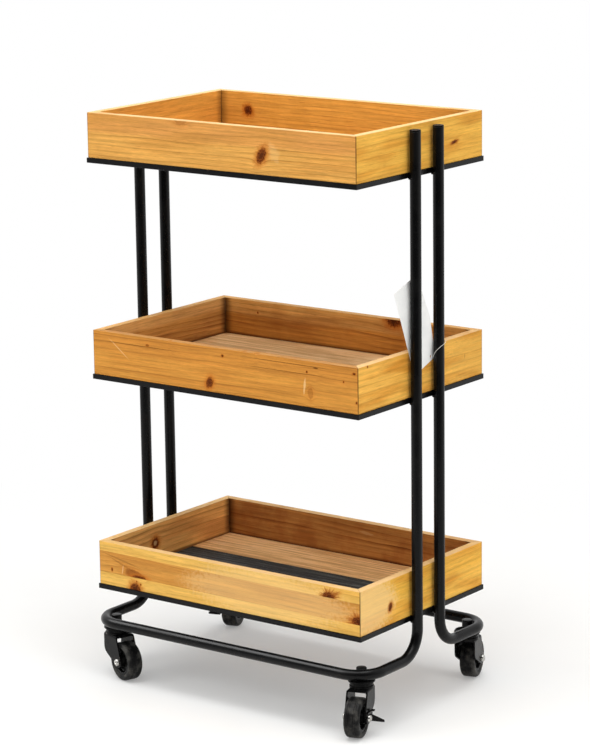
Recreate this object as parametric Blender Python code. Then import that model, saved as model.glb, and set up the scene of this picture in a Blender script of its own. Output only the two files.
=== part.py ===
"""Rolling shelf stand: three open pine trays on a welded tube frame with four swivel castors.

Metres, +Z up. The wheels stand on Z = 0 and the origin is below the middle of the stand.
The trays are long along X, left is -X and the front is -Y.
"""

import math

import bmesh
import bpy
from mathutils import Matrix, Vector

# Clearances
FIT_GAP = 0.0003            # between pieces that meet
TURNING_GAP = 0.0008        # between a wheel's hub and the fork's leg
CUT_OVERRUN = 0.002         # how far a cutter reaches past what it cuts

# Trays
TRAY_LENGTH = 0.450
TRAY_DEPTH = 0.295
TRAY_SPACING = 0.303        # from one rail to the next
BOARD_HEIGHT = 0.062
BOARD_THICKNESS = 0.011
FLOOR_THICKNESS = 0.0095
REAR_PLANK_DEPTH = 0.088    # the brown plank of the lower tray's floor

# Rails: angle steel, one leg flat below the boards and one leg down outside
RAIL_OVERHANG = 0.0015      # how far a rail stands proud of the wood
RAIL_HEIGHT = 0.007
RAIL_WIDTH = 0.018
RAIL_SHEET = 0.0015

# Rail screws
SCREW_RADIUS = 0.0018
SCREW_LENGTH = 0.014        # from the rail's top up into the board
SCREW_HEAD_RADIUS = 0.0038
SCREW_HEAD_HEIGHT = 0.0024
SCREW_SIDES = 10

# Tube hoops
TUBE_RADIUS = 0.0075
TUBE_WALL = 0.0012
POST_HALF_PITCH = 0.027     # from the middle of the stand to a post's centre line
HOOP_REACH = 0.150          # from the middle of the stand to a low bar's centre line
HOOP_DROP = 0.048           # from a low bar's centre line up to the lowest rail
POST_BEND_RADIUS = 0.038
CORNER_BEND_RADIUS = 0.038
POST_TOP_DROP = 0.005       # top of a post's cap below the rim of the top tray
TUBE_SIDES = 14
BEND_STEPS = 6

# Post caps
CAP_HEAD_HEIGHT = 0.0022
CAP_EDGE = 0.0012
CAP_PLUG_DEPTH = 0.014

# Castor wheel
WHEEL_RADIUS = 0.0275
TYRE_HALF_WIDTH = 0.011
TYRE_EDGE_WIDTH = 0.0035    # the rounded edge of the tread, along the axle
TYRE_EDGE_DROP = 0.0030     # the same edge, towards the axle
RIM_RADIUS = 0.019
RIM_THICKNESS = 0.0035
RIM_HALF_WIDTH = 0.0095
WEB_HALF_WIDTH = 0.0035
HUB_RADIUS = 0.0075
WHEEL_SIDES = 28
HUB_SIDES = 20

# Castor fork
CASTOR_TRAIL = 0.024        # from the swivel axis to the axle
WHEEL_TOP_GAP = 0.0058      # from the wheel up to the fork's plate
FORK_PLATE = 0.0035
FORK_SHEET = 0.0022         # thickness of a leg
FORK_BEND_RADIUS = 0.004    # outside radius where the plate turns down into a leg
FORK_BEND_STEPS = 3
HUB_HALF_LENGTH = 0.012
LEG_BACK = 0.0118           # fork plate behind the swivel axis
LEG_FRONT = 0.0195          # fork plate ahead of the swivel axis
LEG_SHOULDER = 0.019        # straight back edge of a leg
LEG_HIP_RADIUS = 0.012      # below it, where the back edge turns in
LEG_HIP_TURN = math.radians(50.0)
LEG_HIP_STEPS = 3
LEG_BOSS_RADIUS = 0.008     # round end of a leg, about the axle
LEG_BOSS_START = math.radians(235.0)
LEG_BOSS_END = math.radians(375.0)
LEG_BOSS_STEPS = 6
RACE_RADIUS = 0.0165        # lower half of the swivel head
RACE_HEIGHT = 0.0063

# Castor stem and socket
STEM_RADIUS = 0.004
STEM_CHAMFER = 0.0008
FLANGE_RADIUS = 0.0185      # upper half of the swivel head
FLANGE_HEIGHT = 0.005
FLANGE_BEVEL = 0.0018
RIVET_RADIUS = 0.0065
RIVET_HEIGHT = 0.002
SOCKET_RADIUS = 0.0072
SOCKET_DROP = 0.001         # socket top below the top of the tube
SOCKET_EDGE = 0.0015
SOCKET_TOP_WALL = 0.002
STEM_SIDES = 14

# Castor axle
AXLE_RADIUS = 0.003
NUT_RADIUS = 0.0050
NUT_HEIGHT = 0.0035
NUT_EDGE = 0.0008
AXLE_SIDES = 12

# Brake pedal, on the outside of one leg
PEDAL_SHEET = 0.002
PEDAL_DISC_RADIUS = 0.0080
PEDAL_ARM = 0.017           # from the axle to the end of the pedal's arm
PEDAL_ARM_HALF_HEIGHT = 0.0070
PEDAL_PAD_LENGTH = 0.017    # how far the pad stands out from the arm
PEDAL_PAD_ROOT = 0.013
PEDAL_PAD_TIP = 0.0028
PEDAL_PAD_SLOPE = math.radians(62.0)
PEDAL_PAD_DROP = 0.0082     # lower edge of the pad below the axle
PEDAL_TAB_WIDTH = 0.0042    # small turned-out tab at the top of the arm, for letting the brake off
PEDAL_TAB_LENGTH = 0.0035
PEDAL_DISC_STEPS = 12

# Swing tag
TAG_WIDTH = 0.054
TAG_LENGTH = 0.126
TAG_THICKNESS = 0.0004
TAG_CORNER = 0.004
TAG_TILT = math.radians(20.0)
TAG_CENTRE_Y = -0.0154
TAG_CENTRE_HEIGHT = 0.103   # above the underside of the middle rail
TAG_CORNER_STEPS = 3
TAG_HOLE_RADIUS = 0.0016
TAG_HOLE_SIDE_INSET = 0.011
TAG_HOLE_END_INSET = 0.006

# Thin loop through the tag's hole and round the rear right post
TAG_LOOP_RADIUS = 0.00025
TAG_LOOP_CLEARANCE = 0.0018     # from the post to the loop where it runs free
TAG_LOOP_RISE = 0.020           # from the tag's hole to the loop's highest place
TAG_LOOP_FULLNESS = 0.7         # below 1, the loop rises steeply and flattens at its top
TAG_LOOP_START = math.radians(200.0)
TAG_LOOP_TURN = math.radians(310.0)
TAG_LOOP_STEPS = 20

# Headings of the castors as they stand: where each wheel trails, counter-clockwise from +X
FRONT_LEFT_HEADING = math.radians(-19.0)
FRONT_RIGHT_HEADING = math.radians(-72.0)
REAR_RIGHT_HEADING = math.radians(107.0)
REAR_LEFT_HEADING = math.radians(108.0)

# Heights that follow, from the ground up
FORK_UNDERSIDE = 2.0 * WHEEL_RADIUS + WHEEL_TOP_GAP
FORK_TOP = FORK_UNDERSIDE + FORK_PLATE
RACE_TOP = FORK_TOP + RACE_HEIGHT
FLANGE_BOTTOM = RACE_TOP + FIT_GAP
FLANGE_TOP = FLANGE_BOTTOM + FLANGE_HEIGHT
HOOP_BOTTOM = FLANGE_TOP + FIT_GAP
HOOP_HEIGHT = HOOP_BOTTOM + TUBE_RADIUS
LOWER_RAIL_BOTTOM = HOOP_HEIGHT + HOOP_DROP
TRAY_RIM_RISE = RAIL_HEIGHT + FIT_GAP + BOARD_HEIGHT
POST_CAP_TOP = LOWER_RAIL_BOTTOM + 2.0 * TRAY_SPACING + TRAY_RIM_RISE - POST_TOP_DROP
TUBE_END = POST_CAP_TOP - CAP_HEAD_HEIGHT - FIT_GAP
SOCKET_TOP = HOOP_HEIGHT + TUBE_RADIUS - SOCKET_DROP
STEM_TOP = SOCKET_TOP - SOCKET_TOP_WALL - FIT_GAP

# Places that follow, in plan
POST_X = TRAY_LENGTH / 2.0 + RAIL_OVERHANG + FIT_GAP + TUBE_RADIUS
SOCKET_INSET = CORNER_BEND_RADIUS - TUBE_RADIUS - FIT_GAP - SOCKET_RADIUS
SWIVEL_X = POST_X - CORNER_BEND_RADIUS + SOCKET_INSET * math.cos(math.radians(45.0))
SWIVEL_Y = HOOP_REACH - CORNER_BEND_RADIUS + SOCKET_INSET * math.sin(math.radians(45.0))
FORK_INNER = HUB_HALF_LENGTH + TURNING_GAP
FORK_OUTER = FORK_INNER + FORK_SHEET
PEDAL_INNER = FORK_OUTER + FIT_GAP
PEDAL_OUTER = PEDAL_INNER + PEDAL_SHEET

# Colours, roughness and metallic value of each finish
FINISHES = {
    "pine": ((0.66, 0.33, 0.09), 0.55, 0.0),
    "brown_floor": ((0.24, 0.12, 0.05), 0.65, 0.0),
    "black_floor": ((0.02, 0.018, 0.017), 0.6, 0.0),
    "black_tube": ((0.012, 0.012, 0.013), 0.35, 0.0),
    "black_plastic": ((0.015, 0.015, 0.016), 0.5, 0.0),
    "black_steel": ((0.02, 0.02, 0.021), 0.4, 0.0),
    "black_rubber": ((0.02, 0.02, 0.021), 0.7, 0.0),
    "zinc": ((0.70, 0.70, 0.68), 0.3, 1.0),
    "paper": ((0.85, 0.85, 0.83), 0.8, 0.0),
}


def clear_scene():
    """Remove every object, so that the script can run again."""
    for item in list(bpy.data.objects):
        bpy.data.objects.remove(item, do_unlink=True)


def finish(name, kind):
    """A material of its own for one piece."""
    colour, roughness, metallic = FINISHES[kind]
    material = bpy.data.materials.new(name + "_finish")
    material.use_nodes = True
    shader = material.node_tree.nodes["Principled BSDF"]
    shader.inputs["Base Color"].default_value = (*colour, 1.0)
    shader.inputs["Roughness"].default_value = roughness
    shader.inputs["Metallic"].default_value = metallic
    return material


def mesh_from(name, bm, sharp_angle=math.radians(35.0)):
    """Turn a bmesh into a mesh with outward faces and smooth round sides."""
    bmesh.ops.recalc_face_normals(bm, faces=bm.faces)
    mesh = bpy.data.meshes.new(name)
    bm.to_mesh(mesh)
    bm.free()
    mesh.shade_smooth()
    mesh.set_sharp_from_angle(angle=sharp_angle)
    return mesh


def place(name, mesh, kind, location=(0.0, 0.0, 0.0), turn=0.0, parent=None):
    """Add one named piece, turned about Z, with its own material."""
    item = bpy.data.objects.new(name, mesh)
    bpy.context.scene.collection.objects.link(item)
    item.location = location
    item.rotation_euler = (0.0, 0.0, turn)
    item.parent = parent
    if not mesh.materials:
        mesh.materials.append(None)
    item.material_slots[0].link = "OBJECT"
    item.material_slots[0].material = finish(name, kind)
    return item


def combine(mesh, tool_mesh, operation):
    """Join, or cut, a mesh with another one, and return the result."""
    base = bpy.data.objects.new("base", mesh)
    tool = bpy.data.objects.new("tool", tool_mesh)
    for item in (base, tool):
        bpy.context.scene.collection.objects.link(item)
    modifier = base.modifiers.new("combine", "BOOLEAN")
    modifier.operation = operation
    modifier.solver = "EXACT"
    modifier.object = tool
    bpy.context.view_layer.update()
    evaluated = base.evaluated_get(bpy.context.evaluated_depsgraph_get())
    result = bpy.data.meshes.new_from_object(evaluated)
    result.name = mesh.name
    for item in (base, tool):
        bpy.data.objects.remove(item, do_unlink=True)
    return result


def block(name, low, high):
    """A box between two opposite corners."""
    bm = bmesh.new()
    size = Vector(high) - Vector(low)
    middle = (Vector(high) + Vector(low)) / 2.0
    stretch = Matrix.Diagonal((*size, 1.0))
    bmesh.ops.create_cube(bm, size=1.0, matrix=Matrix.Translation(middle) @ stretch)
    return mesh_from(name, bm)


def prism(name, outline, low, high, matrix=Matrix.Identity(4)):
    """An outline of (x, y) points extruded from height low to height high, then moved by matrix."""
    bm = bmesh.new()
    face = bm.faces.new([bm.verts.new((x, y, low)) for x, y in outline])
    grown = bmesh.ops.extrude_face_region(bm, geom=[face])
    top = [item for item in grown["geom"] if isinstance(item, bmesh.types.BMVert)]
    bmesh.ops.translate(bm, verts=top, vec=(0.0, 0.0, high - low))
    bmesh.ops.transform(bm, matrix=matrix, verts=bm.verts)
    return mesh_from(name, bm)


def turned(name, profile, sides, closed=False, along_y=False):
    """A profile of (radius, height) points turned about an axis.

    An open profile starts and ends on the axis. A closed one makes a ring.
    """
    bm = bmesh.new()
    corners = [bm.verts.new((radius, 0.0, height)) for radius, height in profile]
    edges = [bm.edges.new(pair) for pair in zip(corners, corners[1:])]
    if closed:
        edges.append(bm.edges.new((corners[-1], corners[0])))
    bmesh.ops.spin(bm, geom=corners + edges, cent=(0.0, 0.0, 0.0), axis=(0.0, 0.0, 1.0),
                   angle=math.tau, steps=sides, use_merge=True)
    bmesh.ops.remove_doubles(bm, verts=bm.verts, dist=FIT_GAP / 10.0)
    if along_y:
        lay_down = Matrix.Rotation(math.radians(-90.0), 3, "X")
        bmesh.ops.rotate(bm, verts=bm.verts, cent=(0.0, 0.0, 0.0), matrix=lay_down)
    return mesh_from(name, bm)


def picture_frame(name, profile):
    """A mitred frame: a closed profile of (half length, half depth, height) points, run round."""
    bm = bmesh.new()
    rings = []
    for half_length, half_depth, height in profile:
        corners = [(-half_length, -half_depth), (half_length, -half_depth),
                   (half_length, half_depth), (-half_length, half_depth)]
        rings.append([bm.verts.new((x, y, height)) for x, y in corners])
    for near, far in zip(rings, rings[1:] + rings[:1]):
        for side in range(len(near)):
            following = (side + 1) % len(near)
            bm.faces.new((near[side], near[following], far[following], far[side]))
    return mesh_from(name, bm)


def arc_points(centre, start, end, radius, steps):
    """Points of a quarter turn about centre, from direction start to direction end."""
    points = []
    for step in range(steps + 1):
        angle = math.radians(90.0) * step / steps
        points.append(centre + radius * (math.cos(angle) * start + math.sin(angle) * end))
    return points


def round_hole(sides, radius):
    """Radius of a faceted hole that clears a round piece of the given radius."""
    return (radius + FIT_GAP) / math.cos(math.pi / sides)


def half_hoop(across, outward):
    """Centre line of one half of a hoop, from the top of its post to the middle of its low bar."""
    post_x = across * POST_X
    top = Vector((post_x, outward * POST_HALF_PITCH, TUBE_END))
    post_bend = Vector((post_x, outward * (POST_HALF_PITCH + POST_BEND_RADIUS),
                        HOOP_HEIGHT + POST_BEND_RADIUS))
    corner_bend = Vector((across * (POST_X - CORNER_BEND_RADIUS),
                          outward * (HOOP_REACH - CORNER_BEND_RADIUS), HOOP_HEIGHT))
    down = Vector((0.0, 0.0, -1.0))
    out = Vector((0.0, outward, 0.0))
    side = Vector((across, 0.0, 0.0))
    line = [top]
    line += arc_points(post_bend, -out, down, POST_BEND_RADIUS, BEND_STEPS)
    line += arc_points(corner_bend, side, out, CORNER_BEND_RADIUS, BEND_STEPS)
    return line


def tube_mesh(name, points, radius, sides, closed=False):
    """Surface of a round bar along a line of points, open at both ends unless it closes on itself."""
    curve = bpy.data.curves.new(name, "CURVE")
    curve.dimensions = "3D"
    curve.bevel_depth = radius
    curve.bevel_resolution = (sides - 4) // 2
    curve.use_fill_caps = False
    spline = curve.splines.new("POLY")
    spline.points.add(len(points) - 1)
    spline.use_cyclic_u = closed
    for corner, point in zip(spline.points, points):
        corner.co = (*point, 1.0)
    guide = bpy.data.objects.new("guide", curve)
    bpy.context.scene.collection.objects.link(guide)
    bpy.context.view_layer.update()
    skin = bpy.data.meshes.new_from_object(guide.evaluated_get(bpy.context.evaluated_depsgraph_get()))
    bpy.data.objects.remove(guide, do_unlink=True)
    bm = bmesh.new()
    bm.from_mesh(skin)
    return mesh_from(name, bm)


def build_hoops():
    """The front and rear tube hoops, each with its wall and its two post caps."""
    for label, outward in (("front", -1.0), ("rear", 1.0)):
        line = half_hoop(-1.0, outward) + half_hoop(1.0, outward)[::-1]
        skin = tube_mesh(label + "_hoop", line, TUBE_RADIUS, TUBE_SIDES)
        hoop = place(label + "_hoop", skin, "black_tube")
        wall = hoop.modifiers.new("tube_wall", "SOLIDIFY")
        wall.thickness = TUBE_WALL
        wall.offset = -1.0
        wall.use_even_offset = True
    plug_radius = (TUBE_RADIUS - TUBE_WALL) * math.cos(math.pi / TUBE_SIDES) - FIT_GAP
    head_top = FIT_GAP + CAP_HEAD_HEIGHT
    cap = turned("post_cap", [
        (0.0, -CAP_PLUG_DEPTH),
        (plug_radius, -CAP_PLUG_DEPTH),
        (plug_radius, FIT_GAP),
        (TUBE_RADIUS, FIT_GAP),
        (TUBE_RADIUS, head_top - CAP_EDGE),
        (TUBE_RADIUS - CAP_EDGE, head_top),
        (0.0, head_top),
    ], TUBE_SIDES)
    for row, outward in (("front", -1.0), ("rear", 1.0)):
        for end, across in (("left", -1.0), ("right", 1.0)):
            place(f"{row}_{end}_post_cap", cap, "black_plastic",
                  (across * POST_X, outward * POST_HALF_PITCH, TUBE_END))


def rail_mesh(name):
    """Angle-steel frame whose underside is at height zero."""
    half_length = TRAY_LENGTH / 2.0 + RAIL_OVERHANG
    half_depth = TRAY_DEPTH / 2.0 + RAIL_OVERHANG
    section = [(0.0, 0.0), (0.0, RAIL_HEIGHT), (RAIL_WIDTH, RAIL_HEIGHT),
               (RAIL_WIDTH, RAIL_HEIGHT - RAIL_SHEET), (RAIL_SHEET, RAIL_HEIGHT - RAIL_SHEET),
               (RAIL_SHEET, 0.0)]
    profile = [(half_length - inset, half_depth - inset, height) for inset, height in section]
    return picture_frame(name, profile)


def board_mesh(name, length, outer):
    """One mitred tray board along X, with its outer face at y = -outer and its foot at height zero."""
    mitre_shift = FIT_GAP * math.cos(math.radians(45.0))
    long_half = length / 2.0 - mitre_shift
    short_half = long_half - BOARD_THICKNESS
    outline = [(-long_half, -outer), (long_half, -outer),
               (short_half, BOARD_THICKNESS - outer), (-short_half, BOARD_THICKNESS - outer)]
    return prism(name, outline, 0.0, BOARD_HEIGHT)


def screw_mesh():
    """Pan-head screw, point up, with the underside of the rail's flat leg at height zero."""
    return turned("rail_screw", [
        (0.0, -FIT_GAP - SCREW_HEAD_HEIGHT),
        (SCREW_HEAD_RADIUS / 2.0, -FIT_GAP - SCREW_HEAD_HEIGHT),
        (SCREW_HEAD_RADIUS, -FIT_GAP - SCREW_HEAD_HEIGHT / 2.0),
        (SCREW_HEAD_RADIUS, -FIT_GAP),
        (SCREW_RADIUS, -FIT_GAP),
        (SCREW_RADIUS, SCREW_LENGTH - SCREW_RADIUS),
        (0.0, SCREW_LENGTH),
    ], SCREW_SIDES)


def build_tray(label, rail_bottom):
    """One tray: its rail, four mitred boards and the two screws that hold them."""
    rail_top = rail_bottom + RAIL_HEIGHT
    board_foot = rail_top + FIT_GAP
    flange_underside = rail_top - RAIL_SHEET
    screw_x = TRAY_LENGTH / 2.0 - BOARD_THICKNESS / 2.0
    rail = rail_mesh(label + "_rail")
    hole_radius = round_hole(SCREW_SIDES, SCREW_RADIUS)
    hole_end = SCREW_LENGTH - RAIL_SHEET
    for across in (-1.0, 1.0):
        outline = circle(across * screw_x, 0.0, hole_radius)
        hole = prism("hole", outline, -CUT_OVERRUN, RAIL_HEIGHT + CUT_OVERRUN)
        rail = combine(rail, hole, "DIFFERENCE")
    place(label + "_rail", rail, "black_tube", (0.0, 0.0, rail_bottom))

    sides = [("front", TRAY_LENGTH, TRAY_DEPTH, 0.0), ("right", TRAY_DEPTH, TRAY_LENGTH, 90.0),
             ("rear", TRAY_LENGTH, TRAY_DEPTH, 180.0), ("left", TRAY_DEPTH, TRAY_LENGTH, 270.0)]
    for side, length, across, turn in sides:
        name = f"{label}_{side}_board"
        board = board_mesh(name, length, across / 2.0)
        if side in ("left", "right"):
            hole = prism("hole", circle(0.0, -screw_x, hole_radius), -CUT_OVERRUN, hole_end)
            board = combine(board, hole, "DIFFERENCE")
        place(name, board, "pine", (0.0, 0.0, board_foot), math.radians(turn))

    screw = screw_mesh()
    for end, across in (("left", -1.0), ("right", 1.0)):
        place(f"{label}_{end}_rail_screw", screw, "zinc", (across * screw_x, 0.0, flange_underside))


def circle(x, y, radius, sides=SCREW_SIDES):
    """Outline of a faceted circle."""
    angles = [math.tau * step / sides for step in range(sides)]
    return [(x + radius * math.cos(angle), y + radius * math.sin(angle)) for angle in angles]


def build_floors():
    """A panel in the top and middle trays, and two planks in the lower one."""
    half_length = TRAY_LENGTH / 2.0 - BOARD_THICKNESS - FIT_GAP
    half_depth = TRAY_DEPTH / 2.0 - BOARD_THICKNESS - FIT_GAP
    seam = half_depth - REAR_PLANK_DEPTH
    pieces = [("top_floor", 2, -half_depth, half_depth, "brown_floor"),
              ("middle_floor", 1, -half_depth, half_depth, "brown_floor"),
              ("lower_rear_floor_plank", 0, seam, half_depth, "brown_floor"),
              ("lower_front_floor_plank", 0, -half_depth, seam - FIT_GAP, "black_floor")]
    for name, tier, near, far, kind in pieces:
        underside = LOWER_RAIL_BOTTOM + tier * TRAY_SPACING + RAIL_HEIGHT + FIT_GAP
        panel = block(name, (-half_length, near, 0.0), (half_length, far, FLOOR_THICKNESS))
        place(name, panel, kind, (0.0, 0.0, underside))


def socket_mesh():
    """Blind bush for a castor's stem, open at its foot."""
    bore = round_hole(STEM_SIDES, STEM_RADIUS)
    return turned("castor_socket", [
        (0.0, SOCKET_TOP - SOCKET_TOP_WALL),
        (bore, SOCKET_TOP - SOCKET_TOP_WALL),
        (bore, HOOP_BOTTOM),
        (SOCKET_RADIUS, HOOP_BOTTOM),
        (SOCKET_RADIUS, SOCKET_TOP - SOCKET_EDGE),
        (SOCKET_RADIUS - SOCKET_EDGE, SOCKET_TOP),
        (0.0, SOCKET_TOP),
    ], STEM_SIDES)


def stem_mesh():
    """Stem with the upper half of the swivel head, riveted through the fork."""
    rivet_top = FORK_UNDERSIDE - FIT_GAP
    return turned("castor_stem", [
        (0.0, rivet_top - RIVET_HEIGHT),
        (RIVET_RADIUS, rivet_top - RIVET_HEIGHT),
        (RIVET_RADIUS, rivet_top),
        (STEM_RADIUS, rivet_top),
        (STEM_RADIUS, FLANGE_BOTTOM),
        (FLANGE_RADIUS, FLANGE_BOTTOM),
        (FLANGE_RADIUS, FLANGE_TOP - FLANGE_BEVEL),
        (FLANGE_RADIUS - FLANGE_BEVEL, FLANGE_TOP),
        (STEM_RADIUS, FLANGE_TOP),
        (STEM_RADIUS, STEM_TOP - STEM_CHAMFER),
        (STEM_RADIUS - STEM_CHAMFER, STEM_TOP),
        (0.0, STEM_TOP),
    ], STEM_SIDES)


def rounded_bends(fork):
    """Round the two long edges where the fork's plate turns down into its legs."""
    bm = bmesh.new()
    bm.from_mesh(fork)
    bends = []
    for edge in bm.edges:
        one, other = edge.verts
        at_top = min(one.co.z, other.co.z) > FORK_TOP - FIT_GAP
        along_trail = abs(one.co.y - other.co.y) < FIT_GAP
        if at_top and along_trail:
            bends.append(edge)
    bmesh.ops.bevel(bm, geom=bends, offset=FORK_BEND_RADIUS, segments=FORK_BEND_STEPS, profile=0.5,
                    affect="EDGES", material=-1)
    return mesh_from(fork.name, bm)


def fork_mesh():
    """Stamped fork: plate, two legs and the lower half of the swivel head, trailing along +X."""
    upright = Matrix.Rotation(math.radians(90.0), 4, "X")
    outline = [(-LEG_BACK, FORK_TOP)]
    for step in range(LEG_HIP_STEPS + 1):
        angle = math.pi + LEG_HIP_TURN * step / LEG_HIP_STEPS
        outline.append((LEG_HIP_RADIUS - LEG_BACK + LEG_HIP_RADIUS * math.cos(angle),
                        FORK_TOP - LEG_SHOULDER + LEG_HIP_RADIUS * math.sin(angle)))
    for step in range(LEG_BOSS_STEPS + 1):
        angle = LEG_BOSS_START + (LEG_BOSS_END - LEG_BOSS_START) * step / LEG_BOSS_STEPS
        outline.append((CASTOR_TRAIL + LEG_BOSS_RADIUS * math.cos(angle),
                        WHEEL_RADIUS + LEG_BOSS_RADIUS * math.sin(angle)))
    outline.append((LEG_FRONT, FORK_TOP))
    fork = rounded_bends(prism("castor_fork", outline, -FORK_OUTER, FORK_OUTER, upright))
    far_front = CASTOR_TRAIL + LEG_BOSS_RADIUS + CUT_OVERRUN
    wheel_room = block("wheel_room", (-LEG_BACK - CUT_OVERRUN, -FORK_INNER, 0.0),
                       (far_front, FORK_INNER, FORK_UNDERSIDE))
    fork = combine(fork, wheel_room, "DIFFERENCE")
    race_outline = circle(0.0, 0.0, RACE_RADIUS, 2 * STEM_SIDES)
    race = prism("race", race_outline, FORK_TOP - FORK_PLATE / 2.0, RACE_TOP)
    fork = combine(fork, race, "UNION")
    kingpin_outline = circle(0.0, 0.0, round_hole(STEM_SIDES, STEM_RADIUS), STEM_SIDES)
    kingpin_hole = prism("hole", kingpin_outline, FORK_UNDERSIDE - CUT_OVERRUN, RACE_TOP + CUT_OVERRUN)
    fork = combine(fork, kingpin_hole, "DIFFERENCE")
    axle_reach = FORK_OUTER + CUT_OVERRUN
    axle_outline = circle(CASTOR_TRAIL, WHEEL_RADIUS, round_hole(AXLE_SIDES, AXLE_RADIUS), AXLE_SIDES)
    axle_hole = prism("hole", axle_outline, -axle_reach, axle_reach, upright)
    return combine(fork, axle_hole, "DIFFERENCE")


def axle_mesh(nut_seat):
    """Axle bolt along Y with a head on -Y and a nut that seats at nut_seat on +Y."""
    head_seat = FORK_OUTER + FIT_GAP
    return turned("castor_axle", [
        (0.0, -head_seat - NUT_HEIGHT),
        (NUT_RADIUS - NUT_EDGE, -head_seat - NUT_HEIGHT),
        (NUT_RADIUS, -head_seat - NUT_HEIGHT + NUT_EDGE),
        (NUT_RADIUS, -head_seat),
        (AXLE_RADIUS, -head_seat),
        (AXLE_RADIUS, nut_seat),
        (NUT_RADIUS, nut_seat),
        (NUT_RADIUS, nut_seat + NUT_HEIGHT - NUT_EDGE),
        (NUT_RADIUS - NUT_EDGE, nut_seat + NUT_HEIGHT),
        (0.0, nut_seat + NUT_HEIGHT),
    ], AXLE_SIDES, along_y=True)


def hub_mesh():
    """Wheel hub about the Y axis: boss, web and rim."""
    bore = round_hole(HUB_SIDES, AXLE_RADIUS)
    rim_inside = RIM_RADIUS - RIM_THICKNESS
    one_side = [(bore, HUB_HALF_LENGTH), (HUB_RADIUS, HUB_HALF_LENGTH), (HUB_RADIUS, WEB_HALF_WIDTH),
                (rim_inside, WEB_HALF_WIDTH), (rim_inside, RIM_HALF_WIDTH), (RIM_RADIUS, RIM_HALF_WIDTH)]
    other_side = [(radius, -along) for radius, along in reversed(one_side)]
    return turned("castor_hub", one_side + other_side, HUB_SIDES, closed=True, along_y=True)


def tyre_mesh():
    """Tyre about the Y axis, with rounded tread edges."""
    seat = (RIM_RADIUS + FIT_GAP) / math.cos(math.pi / WHEEL_SIDES)
    one_side = [(seat, RIM_HALF_WIDTH), (WHEEL_RADIUS - TYRE_EDGE_DROP, TYRE_HALF_WIDTH),
                (WHEEL_RADIUS - TYRE_EDGE_DROP / 4.0, TYRE_HALF_WIDTH - TYRE_EDGE_WIDTH / 2.0),
                (WHEEL_RADIUS, TYRE_HALF_WIDTH - TYRE_EDGE_WIDTH)]
    other_side = [(radius, -along) for radius, along in reversed(one_side)]
    return turned("castor_tyre", one_side + other_side, WHEEL_SIDES, closed=True, along_y=True)


def pedal_mesh():
    """Brake pedal about the axle: a plate outside the leg, with a pad and a small tab bent outwards."""
    upright = Matrix.Rotation(math.radians(90.0), 4, "X")
    spread = math.asin(PEDAL_ARM_HALF_HEIGHT / PEDAL_DISC_RADIUS)
    outline = [(-PEDAL_ARM, PEDAL_ARM_HALF_HEIGHT), (-PEDAL_ARM, -PEDAL_ARM_HALF_HEIGHT)]
    for step in range(PEDAL_DISC_STEPS + 1):
        angle = math.pi + spread + (math.tau - 2.0 * spread) * step / PEDAL_DISC_STEPS
        outline.append((PEDAL_DISC_RADIUS * math.cos(angle), PEDAL_DISC_RADIUS * math.sin(angle)))
    pedal = prism("brake_pedal", outline, -PEDAL_OUTER, -PEDAL_INNER, upright)

    half_sheet = PEDAL_SHEET / 2.0
    root = PEDAL_INNER + half_sheet
    tip = PEDAL_OUTER + PEDAL_PAD_LENGTH
    pad_outline = [(0.0, root), (PEDAL_PAD_ROOT, root), (PEDAL_PAD_TIP, tip), (0.0, tip)]
    slope = Matrix.Rotation(-PEDAL_PAD_SLOPE, 4, "Y")
    foot = Matrix.Translation((half_sheet - PEDAL_ARM, 0.0, -PEDAL_PAD_DROP))
    pad = prism("pad", pad_outline, -half_sheet, half_sheet, foot @ slope)
    pedal = combine(pedal, pad, "UNION")

    tab_outline = [(-PEDAL_ARM, PEDAL_ARM_HALF_HEIGHT - half_sheet),
                   (PEDAL_TAB_WIDTH - PEDAL_ARM, PEDAL_ARM_HALF_HEIGHT - half_sheet),
                   (PEDAL_TAB_WIDTH - PEDAL_ARM, PEDAL_ARM_HALF_HEIGHT + half_sheet),
                   (-PEDAL_ARM, PEDAL_ARM_HALF_HEIGHT + half_sheet)]
    tab = prism("tab", tab_outline, -PEDAL_OUTER - PEDAL_TAB_LENGTH, -root, upright)
    pedal = combine(pedal, tab, "UNION")

    hole_outline = circle(0.0, 0.0, round_hole(AXLE_SIDES, AXLE_RADIUS), AXLE_SIDES)
    hole = prism("hole", hole_outline, -PEDAL_OUTER - CUT_OVERRUN, -PEDAL_INNER + CUT_OVERRUN, upright)
    return combine(pedal, hole, "DIFFERENCE")


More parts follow.
